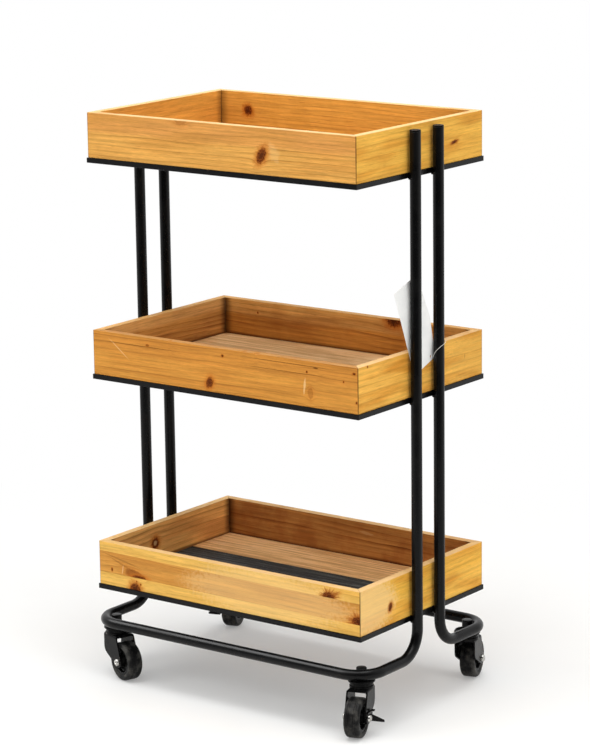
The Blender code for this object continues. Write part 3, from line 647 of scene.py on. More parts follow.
        # painted shade mixed with grime: the inner face darkens towards the inner corners and along its foot, where
        # shade falls
        corner = recipe.math("MULTIPLY", inner, recipe.step(from_joint, 0.015, 0.0005))
        foot = recipe.math("MULTIPLY", inner, recipe.step(up, 0.0145, 0.0095))
        shade_and_soil = recipe.math("MULTIPLY", recipe.math("MAXIMUM", corner, foot), self.shade_and_soiling)
        colour = recipe.mix(recipe.math("MULTIPLY", recipe.math("MAXIMUM", shade_and_soil, joint), 0.9), colour, self.GRIME_AND_SHADE)
        top = recipe.step(up, board.height - 0.0007, board.height - 0.0002)
        colour = recipe.mix(recipe.math("MULTIPLY", top, recipe.spread(patina["Patch"], 0.9, 0.5)), colour, self.edge)
        return recipe.mix(recipe.math("MULTIPLY", patina["Speck"], 0.15), colour, self.GRIME_AND_SHADE)


@dataclass(frozen=True)
class WeatheredPlank:
    """Old floor wood: grain lines with dust lying in them."""

    seed: float
    wood: Colour
    dark: Colour
    dust: Colour
    dustiness: float
    spacing: float = 0.006
    rough: float = 0.75

    def material(self, name: str) -> bpy.types.Material:
        """The finish of one floor plank.

        Args:
            name: the material's name.

        Returns:
            The material.
        """
        material, recipe, shader = new_material(name)
        place = recipe.object_place()
        along, across, up = recipe.split(place)
        board = recipe.node("ShaderNodeCombineXYZ", {0: along, 1: up, 2: across}).outputs[0]
        rings = RINGS.place(recipe, place=board, seed=self.seed, pith_up=-0.02, pith_through=-0.03, slope=0.01,
                            spacing=self.spacing, wobble=0.03)
        patina = PATINA.place(recipe, place=place, patches=16.0, specks=700.0)
        colour = recipe.mix(rings["Late"], self.wood, self.dark)
        streak = recipe.step(rings["Streak"], 0.42, 0.66)
        colour = recipe.mix(recipe.math("MULTIPLY", streak, 0.6), colour, self.dark)
        colour = recipe.mix(recipe.math("MULTIPLY", rings["Pore"], 0.5), colour, self.dark)
        raised = recipe.step(rings["Streak"], 0.62, 0.30)
        patchy = recipe.math("MULTIPLY", recipe.spread(patina["Patch"], 0.35, 1.0), self.dustiness)
        lying = recipe.math("MULTIPLY", patchy, recipe.spread(raised, 0.25, 1.0))
        colour = recipe.mix(lying, colour, self.dust)
        colour = recipe.mix(recipe.math("MULTIPLY", patina["Speck"], 0.5 * self.dustiness), colour, (0.7, 0.62, 0.52))
        recipe.feed(shader.inputs["Base Color"], colour)
        recipe.feed(shader.inputs["Roughness"], recipe.spread(patina["Patch"], self.rough - 0.12, self.rough + 0.1))
        shader.inputs["Specular IOR Level"].default_value = 0.08
        relief = recipe.math("ADD", rings["Streak"], rings["Fibre"])
        bump = recipe.node("ShaderNodeBump", {"Height": relief, "Strength": 0.4, "Distance": 0.0004})
        recipe.feed(shader.inputs["Normal"], bump.outputs[0])
        return material


@dataclass(frozen=True)
class Coating:
    """A thin even finish: paint, moulded plastic, rubber, plated metal or paper."""

    name: str
    base: Colour
    worn: Colour
    rough: float
    rough_spread: float = 0.08
    metal: float = 0.0
    gloss: float = 0.25
    wear: float = 0.25
    patches: float = 30.0
    specks: float = 900.0
    grain_scale: float = 1800.0
    grain_strength: float = 0.12
    grain_depth: float = 0.0001

    def material(self) -> bpy.types.Material:
        """The finish, made once and shared by the pieces that have it."""
        found = bpy.data.materials.get(self.name)
        if found:
            return found
        material, recipe, shader = new_material(self.name)
        place = recipe.object_place()
        patina = PATINA.place(recipe, place=place, patches=self.patches, specks=self.specks)
        worn = recipe.math("MULTIPLY", recipe.math("MAXIMUM", patina["Patch"], patina["Speck"]), self.wear)
        recipe.feed(shader.inputs["Base Color"], recipe.mix(worn, self.base, self.worn))
        rough = recipe.spread(patina["Patch"], self.rough - self.rough_spread, self.rough + self.rough_spread)
        recipe.feed(shader.inputs["Roughness"], rough)
        shader.inputs["Metallic"].default_value = self.metal
        shader.inputs["Specular IOR Level"].default_value = self.gloss
        grain = GRAIN.place(recipe, place=place, scale=self.grain_scale, strength=self.grain_strength,
                            depth=self.grain_depth)
        recipe.feed(shader.inputs["Normal"], grain["Normal"])
        return material


POWDER_COAT = Coating("satin_black_powder_coat", (0.0020, 0.0020, 0.0022), (0.008, 0.0075, 0.007), 0.30, wear=0.4,
                      rough_spread=0.05, patches=22.0, grain_scale=1400.0, grain_strength=0.14, gloss=0.16)
STAMPED_PAINT = Coating("black_stamped_steel_paint", (0.0022, 0.0022, 0.0024), (0.024, 0.022, 0.020), 0.22, wear=0.25,
                        patches=110.0, grain_scale=2200.0, gloss=0.09)
MOULDED_BLACK = Coating("moulded_black_plastic", (0.003, 0.003, 0.003), (0.020, 0.019, 0.017), 0.30, wear=0.3,
                        patches=120.0, grain_scale=3000.0, gloss=0.09)
TYRE_RUBBER = Coating("worn_black_rubber", (0.0045, 0.0045, 0.0047), (0.120, 0.114, 0.102), 0.52, wear=0.5,
                      patches=75.0, specks=1300.0, grain_scale=1500.0, grain_strength=0.6, grain_depth=0.0003,
                      gloss=0.11)
BRIGHT_ZINC = Coating("bright_zinc_plate", (0.62, 0.61, 0.58), (0.24, 0.22, 0.20), 0.30, metal=1.0, wear=0.6,
                      patches=300.0, grain_scale=2500.0, gloss=0.5)
WELD_PAINT = Coating("painted_weld", (0.0022, 0.0022, 0.0024), (0.016, 0.015, 0.014), 0.30, wear=0.3,
                     patches=200.0, grain_scale=700.0, grain_strength=0.5, grain_depth=0.0004, gloss=0.16)
BLANK_CARD = Coating("blank_white_card", (0.90, 0.90, 0.88), (0.76, 0.77, 0.76), 0.62, wear=0.35, patches=35.0,
                     grain_scale=1200.0, grain_strength=0.08)
CLEAR_NYLON = Coating("pale_nylon_loop", (0.78, 0.76, 0.70), (0.6, 0.58, 0.52), 0.35, wear=0.3, patches=200.0)


def mesh_piece(name: str, bm: bmesh.types.BMesh, body: str, material: bpy.types.Material,
               nodes: Sequence[str] = (), sharp: float = math.radians(40.0)) -> bpy.types.Object:
    """Turn a finished bmesh into a piece of the stand.

    Args:
        name: the piece's name.
        bm: its shape, in the frame's place.
        body: the body that it rides on.
        material: its finish.
        nodes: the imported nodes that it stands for.
        sharp: edges that turn by more than this stay crisp.

    Returns:
        The new object.
    """
    mesh = bpy.data.meshes.new(name)
    bm.to_mesh(mesh)
    bm.free()
    mesh.shade_smooth()
    mesh.set_sharp_from_angle(angle=sharp)
    mesh.materials.append(material)
    piece = bpy.data.objects.new(name, mesh)
    bpy.context.scene.collection.objects.link(piece)
    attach(piece, body)
    if nodes:
        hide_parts(*nodes)
    LOG.info("%s: %d faces on %s", name, len(mesh.polygons), body)
    return piece


def even_shading(piece: bpy.types.Object) -> None:
    """Keep wide flat faces flat where they meet narrow rounded edges."""
    weigh = piece.modifiers.new("even_shading", "WEIGHTED_NORMAL")
    weigh.keep_sharp = True


def ease_edges(bm: bmesh.types.BMesh, width: float, segments: int = 2, angle: float = math.radians(35.0)) -> None:
    """Round every edge that turns by more than an angle.

    Args:
        bm: the shape.
        width: how wide the rounding is.
        segments: its steps.
        angle: the least turn.
    """
    bmesh.ops.recalc_face_normals(bm, faces=bm.faces)
    edges = [edge for edge in bm.edges if edge.is_manifold and edge.calc_face_angle() > angle]
    bmesh.ops.bevel(bm, geom=edges, offset=width, segments=segments, profile=0.5, affect="EDGES", material=-1,
                    clamp_overlap=True)


def turned(profile: Profile, steps: int, closed: bool = False) -> bmesh.types.BMesh:
    """Spin a profile of (radius, height) points round the Z axis.

    Args:
        profile: the points, in order.
        steps: facets round the piece.
        closed: join the last point to the first, as for a ring.

    Returns:
        A closed shape whose faces point out.
    """
    bm = bmesh.new()
    corners = [bm.verts.new((radius, 0.0, height)) for radius, height in profile]
    pairs = list(zip(corners, corners[1:]))
    if closed:
        pairs.append((corners[-1], corners[0]))
    edges = [bm.edges.new(pair) for pair in pairs]
    bmesh.ops.spin(bm, geom=corners + edges, cent=(0.0, 0.0, 0.0), axis=(0.0, 0.0, 1.0), angle=math.tau,
                   steps=steps, use_merge=True)
    bmesh.ops.remove_doubles(bm, verts=bm.verts, dist=MERGE)
    bmesh.ops.recalc_face_normals(bm, faces=bm.faces)
    return bm


def box_shape(low: Sequence[float], high: Sequence[float]) -> bmesh.types.BMesh:
    """A box between two corners."""
    bm = bmesh.new()
    size = Vector(high) - Vector(low)
    middle = (Vector(high) + Vector(low)) / 2.0
    bmesh.ops.create_cube(bm, size=1.0, matrix=Matrix.Translation(middle) @ Matrix.Diagonal((*size, 1.0)))
    return bm


def drum(radius: float, low: float, high: float, sides: int, along_y: bool = False,
         middle: Sequence[float] = (0.0, 0.0)) -> bmesh.types.BMesh:
    """A plain round bar between two heights, upright or along Y.

    Args:
        radius: its radius.
        low: where it starts, along its own axis.
        high: where it ends.
        sides: facets round it.
        along_y: lay it along Y.
        middle: its axis, as (x, y) upright or (x, z) along Y.

    Returns:
        The shape.
    """
    bm = bmesh.new()
    lift = (low + high) / 2.0
    if along_y:
        place = Matrix.Translation((middle[0], lift, middle[1])) @ Matrix.Rotation(RIGHT_ANGLE, 4, "X")
    else:
        place = Matrix.Translation((middle[0], middle[1], lift))
    bmesh.ops.create_cone(bm, cap_ends=True, segments=sides, radius1=radius, radius2=radius, depth=high - low,
                          matrix=place)
    return bm


def hull(*shapes: bmesh.types.BMesh) -> bmesh.types.BMesh:
    """Stretch a skin over some shapes, which are used up."""
    bm = bmesh.new()
    for shape in shapes:
        scratch = bpy.data.meshes.new("scratch")
        shape.to_mesh(scratch)
        shape.free()
        bm.from_mesh(scratch)
        bpy.data.meshes.remove(scratch)
    bmesh.ops.delete(bm, geom=bm.faces, context="FACES_ONLY")
    made = bmesh.ops.convex_hull(bm, input=bm.verts)
    inside = {item for key in ("geom_interior", "geom_unused") for item in made[key]}
    bmesh.ops.delete(bm, geom=[v for v in bm.verts if v in inside or not v.link_faces], context="VERTS")
    bmesh.ops.dissolve_limit(bm, angle_limit=math.radians(1.0), verts=bm.verts, edges=bm.edges)
    bmesh.ops.recalc_face_normals(bm, faces=bm.faces)
    return bm


def combined(base: bmesh.types.BMesh, tool: bmesh.types.BMesh, operation: str) -> bmesh.types.BMesh:
    """Join, cut or trim one shape with another; both are used up.

    Args:
        base: the shape that is changed.
        tool: the shape that changes it.
        operation: UNION, DIFFERENCE or INTERSECT.

    Returns:
        The result.
    """
    objects = []
    for label, shape in (("base", base), ("tool", tool)):
        mesh = bpy.data.meshes.new(label)
        shape.to_mesh(mesh)
        shape.free()
        item = bpy.data.objects.new(label, mesh)
        bpy.context.scene.collection.objects.link(item)
        objects.append(item)
    work, cutter = objects
    step = work.modifiers.new("step", "BOOLEAN")
    step.operation = operation
    step.object = cutter
    step.solver = "EXACT"
    bpy.context.view_layer.update()
    bm = bmesh.new()
    bm.from_object(work, bpy.context.evaluated_depsgraph_get())
    for item in objects:
        mesh = item.data
        bpy.data.objects.remove(item, do_unlink=True)
        bpy.data.meshes.remove(mesh)
    bmesh.ops.remove_doubles(bm, verts=bm.verts, dist=MERGE)
    bmesh.ops.dissolve_limit(bm, angle_limit=math.radians(0.5), verts=bm.verts, edges=bm.edges)
    return bm


class TubeBender:
    """Draws a ring of edges along straight runs and round bends, as a bending machine does with tube."""

    def __init__(self, start: Vector, heading: Vector, radius: float, sides: int) -> None:
        """Put the ring at the tube's first end.

        Args:
            start: the middle of that end.
            heading: the direction of the tube there.
            radius: the tube's outer radius.
            sides: facets round the tube.
        """
        self.bm = bmesh.new()
        self.place = start.copy()
        self.heading = heading.normalized()
        self.radius = radius
        turn = self.heading.to_track_quat("Z", "Y").to_matrix().to_4x4()
        bmesh.ops.create_circle(self.bm, cap_ends=False, segments=sides, radius=radius,
                                matrix=Matrix.Translation(start) @ turn)
        self.ring = list(self.bm.edges)

    def run(self, length: float) -> None:
        """Draw the tube straight on."""
        made = bmesh.ops.extrude_edge_only(self.bm, edges=self.ring)["geom"]
        moved = [item for item in made if isinstance(item, bmesh.types.BMVert)]
        self.ring = [item for item in made if isinstance(item, bmesh.types.BMEdge) and item.is_boundary]
        bmesh.ops.translate(self.bm, verts=moved, vec=self.heading * length)
        self.place = self.place + self.heading * length

    def bend(self, towards: Vector, radius: float, angle: float, steps: int) -> None:
        """Bend the tube towards a direction square to its heading.

        Args:
            towards: where it bends to.
            radius: the bend's radius on the tube's middle line.
            angle: how far it turns.
            steps: rings along the bend.
        """
        centre = self.place + towards.normalized() * radius
        axis = self.heading.cross(towards).normalized()
        corners = list({corner for edge in self.ring for corner in edge.verts})
        made = bmesh.ops.spin(self.bm, geom=corners + self.ring, cent=centre, axis=axis, angle=angle, steps=steps)
        self.ring = [item for item in made["geom_last"] if isinstance(item, bmesh.types.BMEdge)]
        turn = Matrix.Rotation(angle, 3, axis)
        self.place = centre + turn @ (self.place - centre)
        self.heading = turn @ self.heading


@dataclass
class TubeHoop:
    """One bent tube: two posts, four bends and the low bar, with its two post caps."""

    label: str
    outward: float
    radius: float = 0.0075
    wall: float = 0.0012
    reach: float = 0.150
    bend_radius: float = 0.038
    sides: int = 40
    bend_steps: int = 14
    cap_head: float = 0.0022
    cap_plug: float = 0.014
    cap_dish: float = 0.0004
    gap: float = 0.0003

    def build(self) -> None:
        """Bend the tube and close its ends."""
        left_low, left_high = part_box(f"{self.label}_left_post_cap")
        right_low, right_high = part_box(f"{self.label}_right_post_cap")
        left, right = (left_low + left_high) / 2.0, (right_low + right_high) / 2.0
        tube_end = left_high.z - self.cap_head - self.gap
        bar_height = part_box(f"{self.label}_left_castor_socket")[0].z + self.radius
        out = Vector((0.0, self.outward, 0.0))
        down, across = Vector((0.0, 0.0, -1.0)), Vector((1.0, 0.0, 0.0))
        quarter = RIGHT_ANGLE
        drop = tube_end - bar_height - self.bend_radius
        arm = self.reach - abs(left.y) - 2.0 * self.bend_radius
        bar = right.x - left.x - 2.0 * self.bend_radius
        bender = TubeBender(Vector((left.x, left.y, tube_end)), down, self.radius, self.sides)
        bender.run(self.cap_head)
        bender.run(drop - self.cap_head)
        bender.bend(out, self.bend_radius, quarter, self.bend_steps)
        bender.run(arm)
        bender.bend(across, self.bend_radius, quarter, self.bend_steps)
        bender.run(bar)
        bender.bend(-out, self.bend_radius, quarter, self.bend_steps)
        bender.run(arm)
        bender.bend(-down, self.bend_radius, quarter, self.bend_steps)
        bender.run(drop - self.cap_head)
        bender.run(self.cap_head)
        bmesh.ops.recalc_face_normals(bender.bm, faces=bender.bm.faces)
        tube = mesh_piece(f"{self.label}_bent_tube", bender.bm, "frame", POWDER_COAT.material(),
                          [f"{self.label}_hoop"])
        wall = tube.modifiers.new("tube_wall", "SOLIDIFY")
        wall.thickness = self.wall
        wall.offset = -1.0
        even_shading(tube)
        for end, middle in (("left", left), ("right", right)):
            self.cap(end, Vector((middle.x, middle.y, tube_end)))

    def cap(self, end: str, place: Vector) -> None:
        """Push a moulded cap into one tube end.

        Args:
            end: left or right.
            place: the middle of the tube's end.
        """
        plug = self.radius - self.wall - self.gap
        head = self.gap + self.cap_head
        bm = turned([(0.0, -self.cap_plug), (plug, -self.cap_plug), (plug, self.gap), (self.radius, self.gap),
                     (self.radius, head), (self.radius * 0.55, head), (self.radius * 0.45, head - self.cap_dish),
                     (0.0, head - self.cap_dish)], self.sides)
        rim = [edge for edge in bm.edges if all(abs(v.co.z - head) < MERGE and v.co.xy.length > self.radius - MERGE
                                                for v in edge.verts)]
        bmesh.ops.bevel(bm, geom=rim, offset=self.cap_head * 0.5, segments=4, profile=0.5, affect="EDGES",
                        material=-1)
        bmesh.ops.translate(bm, verts=bm.verts, vec=place)
        mesh_piece(f"{self.label}_{end}_tube_cap", bm, "frame", MOULDED_BLACK.material(),
                   [f"{self.label}_{end}_post_cap"])


@dataclass
class AngleFrame:
    """The welded angle-steel rail below a tray, its screws and the welds to the four posts."""

    label: str
    width: float = 0.018
    sheet: float = 0.0015
    edge: float = 0.00035
    bead: float = 0.0021
    post_radius: float = 0.0075
    screw_head: float = 0.0038
    screw_height: float = 0.0024
    screw_radius: float = 0.0018
    screw_length: float = 0.014
    slot_width: float = 0.0009
    gap: float = 0.0003

    def build(self) -> None:
        """Make the rail, the screws and the welds."""
        low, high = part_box(f"{self.label}_rail")
        self.rail(low, high)
        for end in ("left", "right"):
            self.screw(end)
        self.welds(low.z, high.x)

    def rail(self, low: Vector, high: Vector) -> None:
        """Spin the angle's section in four steps and stretch the square to the tray's size.

        Args:
            low: the rail's lowest corner.
            high: its highest corner.
        """
        tall = high.z - low.z
        corner = 2.0 * self.width
        section = [(0.0, 0.0), (0.0, tall), (self.width, tall), (self.width, tall - self.sheet),
                   (self.sheet, tall - self.sheet), (self.sheet, 0.0)]
        bm = bmesh.new()
        points = [bm.verts.new((corner - inset, corner - inset, low.z + height)) for inset, height in section]
        edges = [bm.edges.new(pair) for pair in zip(points, points[1:] + points[:1])]
        bmesh.ops.spin(bm, geom=points + edges, cent=(0.0, 0.0, 0.0), axis=(0.0, 0.0, 1.0), angle=math.tau, steps=4,
                       use_merge=True)
        for axis, stretch in ((0, high.x - corner), (1, high.y - corner)):
            for sign in (-1.0, 1.0):
                move = Vector((0.0, 0.0, 0.0))
                move[axis] = sign * stretch
                bmesh.ops.translate(bm, verts=[v for v in bm.verts if v.co[axis] * sign > 0.0], vec=move)
        ease_edges(bm, self.edge)
        piece = mesh_piece(f"{self.label}_angle_frame", bm, "frame", POWDER_COAT.material(),
                           [f"{self.label}_rail"])
        even_shading(piece)

    def screw(self, end: str) -> None:
        """A pan-head screw with a cross slot, seen from below.

        Args:
            end: left or right.
        """
        low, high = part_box(f"{self.label}_{end}_rail_screw")
        middle = (low + high) / 2.0
        top = -self.gap
        bottom = top - self.screw_height
        bm = turned([(0.0, bottom), (self.screw_head * 0.55, bottom), (self.screw_head * 0.9, bottom * 0.72),
                     (self.screw_head, top * 1.6), (self.screw_head, top), (self.screw_radius, top),
                     (self.screw_radius, self.screw_length - self.screw_radius), (0.0, self.screw_length)], 24)
        for turn in (0.0, RIGHT_ANGLE):
            slot = box_shape((-self.screw_head * 0.5, -self.slot_width / 2.0, bottom - OVERRUN),
                             (self.screw_head * 0.5, self.slot_width / 2.0, bottom + self.screw_height * 0.5))
            bmesh.ops.rotate(slot, verts=slot.verts, cent=(0.0, 0.0, 0.0), matrix=Matrix.Rotation(turn, 3, "Z"))
            bm = combined(bm, slot, "DIFFERENCE")
        seat = low.z - bottom
        bmesh.ops.translate(bm, verts=bm.verts, vec=(middle.x, middle.y, seat))
        mesh_piece(f"{self.label}_{end}_pan_screw", bm, "frame", BRIGHT_ZINC.material(),
                   [f"{self.label}_{end}_rail_screw"])

    def welds(self, bottom: float, face: float) -> None:
        """Run a bead round the inner half of each post, below the rail.

        Args:
            bottom: height of the rail's underside.
            face: the rail's outer face, from the middle of the stand.
        """
        bm = bmesh.new()
        for row in ("front", "rear"):
            for end, across in (("left", -1.0), ("right", 1.0)):
                low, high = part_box(f"{row}_{end}_post_cap")
                post = (low + high) / 2.0
                self.bead_round(bm, Vector((post.x, post.y, bottom)), across)
        for corner in bm.verts:
            ripple = noise.noise(corner.co * 420.0)
            corner.co += corner.normal * ripple * self.bead * 0.3
        mesh_piece(f"{self.label}_post_welds", bm, "frame", WELD_PAINT.material())

    def bead_round(self, bm: bmesh.types.BMesh, foot: Vector, across: float) -> None:
        """One bead, thickest at its middle and drawn out to nothing at its ends.

        Args:
            bm: where it is added.
            foot: the post's middle line at the rail's underside.
            across: the side of the stand that the post is on.
        """
        sweep, steps, sides = math.radians(190.0), 26, 12
        inward = math.pi if across > 0.0 else 0.0
        start = inward - sweep / 2.0
        distance = self.post_radius + self.bead * 0.15
        ring_place = Matrix.Translation(foot) @ Matrix.Rotation(start, 4, "Z") @ Matrix.Translation((distance, 0.0, 0.0))
        before = set(bm.verts)
        bmesh.ops.create_circle(bm, cap_ends=False, segments=sides, radius=self.bead,
                                matrix=ring_place @ Matrix.Rotation(RIGHT_ANGLE, 4, "X"))
        ring = [v for v in bm.verts if v not in before]
        edges = list({edge for v in ring for edge in v.link_edges})
        bmesh.ops.spin(bm, geom=ring + edges, cent=foot, axis=(0.0, 0.0, 1.0), angle=sweep, steps=steps)
        made = [v for v in bm.verts if v not in before]
        for corner in made:
            offset = corner.co - foot
            turn = math.atan2(offset.y, offset.x) - start
            share = (turn % math.tau) / sweep
            swell = math.sin(math.pi * min(max(share, 0.0), 1.0)) ** 0.5
            flat = Vector((offset.x, offset.y, 0.0)).normalized() * distance
            corner.co = foot + flat + (offset - flat) * max(swell, 0.02)
        fresh = [face for face in bm.faces if face.verts[0] not in before]
        bmesh.ops.holes_fill(bm, edges=[edge for edge in bm.edges if edge.is_boundary], sides=0)
        bmesh.ops.recalc_face_normals(bm, faces=bm.faces)
        LOG.debug("bead with %d faces", len(fresh))


@dataclass
class TrayBoard:
    """One mitred pine board with sanded, slightly worn edges."""

    tray: str
    side: Side
    pine: Pine
    chips: tuple[tuple[float, float, float], ...] = ()
    thickness: float = 0.011
    arris: float = 0.0007
    mitre_arris: float = 0.00025
    gap: float = 0.0003
    pitch: float = 0.0030
    wear: float = 0.00022
    bow: float = 0.00018

    def place(self) -> BoardPlace:
        """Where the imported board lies."""
        low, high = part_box(f"{self.tray}_{self.side.label}_board")
        front_low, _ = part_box(f"{self.tray}_front_board")
        _, right_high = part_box(f"{self.tray}_right_board")
        half_depth, half_length = -front_low.y, right_high.x
        long_way = self.side in (Side.FRONT, Side.REAR)
        outer, half = (half_depth, half_length) if long_way else (half_length, half_depth)
        return BoardPlace(self.side.turn, outer, low.z, 2.0 * half, high.z - low.z, self.thickness)

    def build(self) -> None:
        """Cut the board, ease its edges, wear it and put it in place."""
        board = self.place()
        shift = self.gap * math.cos(RIGHT_ANGLE / 2.0)
        half = board.length / 2.0 - shift
        bm = box_shape((-half, -board.outer, 0.0), (half, self.thickness - board.outer, board.height))
        inner = self.thickness - board.outer - MERGE
        for sign in (-1.0, 1.0):
            end = [v for v in bm.verts if v.co.y > inner and v.co.x * sign > 0.0]
            bmesh.ops.translate(bm, verts=end, vec=(-sign * self.thickness, 0.0, 0.0))
        upright = [edge for edge in bm.edges if abs(edge.verts[0].co.z - edge.verts[1].co.z) > self.thickness]
        bmesh.ops.bevel(bm, geom=upright, offset=self.mitre_arris, segments=2, profile=0.5, affect="EDGES", material=-1)
        level = [edge for edge in bm.edges if abs(edge.verts[0].co.z - edge.verts[1].co.z) < MERGE
                 and edge.calc_face_angle() > RIGHT_ANGLE / 2.0]
        bmesh.ops.bevel(bm, geom=level, offset=self.arris, segments=3, profile=0.5, affect="EDGES", material=-1,
                        clamp_overlap=True)
        self.cut_across(bm, board)
        self.wear_down(bm, board)
        bmesh.ops.rotate(bm, verts=bm.verts, cent=(0.0, 0.0, 0.0), matrix=Matrix.Rotation(board.turn, 3, "Z"))
        bmesh.ops.translate(bm, verts=bm.verts, vec=(0.0, 0.0, board.foot))
        node = f"{self.tray}_{self.side.label}_board"
        name = f"{self.tray}_{self.side.label}_pine_board"
        piece = mesh_piece(name, bm, "frame", self.pine.material(name + "_wood", board), [node])
        even_shading(piece)

    def cut_across(self, bm: bmesh.types.BMesh, board: BoardPlace) -> None:
        """Divide the board along its length and over its upper edge, so that wear has points to move.

        Args:
            bm: the board.
            board: its sizes.
        """
        count = int(board.length / self.pitch)
        reach = board.length / 2.0 - self.thickness - self.arris
        for step in range(1, count):
            along = reach * (2.0 * step / count - 1.0)
            bmesh.ops.bisect_plane(bm, geom=bm.verts[:] + bm.edges[:] + bm.faces[:], dist=MERGE,
                                   plane_co=(along, 0.0, 0.0), plane_no=(1.0, 0.0, 0.0))

    def wear_down(self, bm: bmesh.types.BMesh, board: BoardPlace) -> None:
        """Bow the board a little, rub down its upper edges and knock out the chips.

        Args:
            bm: the board.
            board: its sizes.
        """
        middle = self.thickness / 2.0 - board.outer
        seed = self.pine.staves[0].seed
        for corner in bm.verts:
            along, up = corner.co.x, corner.co.z
            end = min(1.0, (board.length / 2.0 - abs(along)) / self.thickness)
            bow = noise.noise(Vector((along * 5.0 + seed, seed, up * 6.0)))
            corner.co.y += bow * self.bow * end
            edge = max(0.0, 1.0 - (board.height - up) / (2.0 * self.arris))
            rub = max(0.0, noise.noise(Vector((along * 90.0, seed * 3.0, corner.co.y * 90.0))))
            corner.co.z -= rub * self.wear * edge * end
            towards = 1.0 if corner.co.y < middle else -1.0
            for at, radius, depth in self.chips:
                near = max(0.0, 1.0 - abs(along - at) / radius)
                outside = max(0.0, 1.0 - (corner.co.y - middle + self.thickness / 2.0) / self.thickness)
                corner.co.z -= depth * near * edge * outside
                corner.co.y += depth * 0.5 * near * edge * outside * towards


@dataclass
class FloorPlank:
    """A plank or panel of a tray's floor."""

    node: str
    name: str
    slot: Slot
    finish: WeatheredPlank
    edge: float = 0.0008
    cup: float = 0.0003
    pitch: float = 0.010

    def build(self) -> None:
        """Cut the plank to its packed size and let it cup a little."""
        low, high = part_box(self.node)
        bm = box_shape(low, high)
        ease_edges(bm, self.edge, 2)
        for axis in (0, 1):
            count = int((high[axis] - low[axis]) / self.pitch)
            for step in range(1, count):
                cut, square = Vector((0.0, 0.0, 0.0)), Vector((0.0, 0.0, 0.0))
                cut[axis] = low[axis] + (high[axis] - low[axis]) * step / count
                square[axis] = 1.0
                bmesh.ops.bisect_plane(bm, geom=bm.verts[:] + bm.edges[:] + bm.faces[:], dist=MERGE, plane_co=cut,
                                       plane_no=square)
        for corner in bm.verts:
            wave = noise.noise(Vector((corner.co.x * 4.0, corner.co.y * 14.0, self.finish.seed)))
            corner.co.z -= abs(wave) * self.cup
        piece = mesh_piece(self.name, bm, "frame", self.finish.material(self.name + "_wood"), [self.node])
        even_shading(piece)


@dataclass
class Tray:
    """A tray: angle frame, four boards and floor."""

    label: str
    boards: dict[Side, Pine]
    floors: list[FloorPlank]
    chips: tuple[tuple[float, float, float], ...] = ()

    def build(self) -> None:
        """Make every piece of the tray."""
        AngleFrame(self.label).build()
        for side, pine in self.boards.items():
            TrayBoard(self.label, side, pine, self.chips if side is Side.FRONT else ()).build()
        for floor in self.floors:
            floor.build()


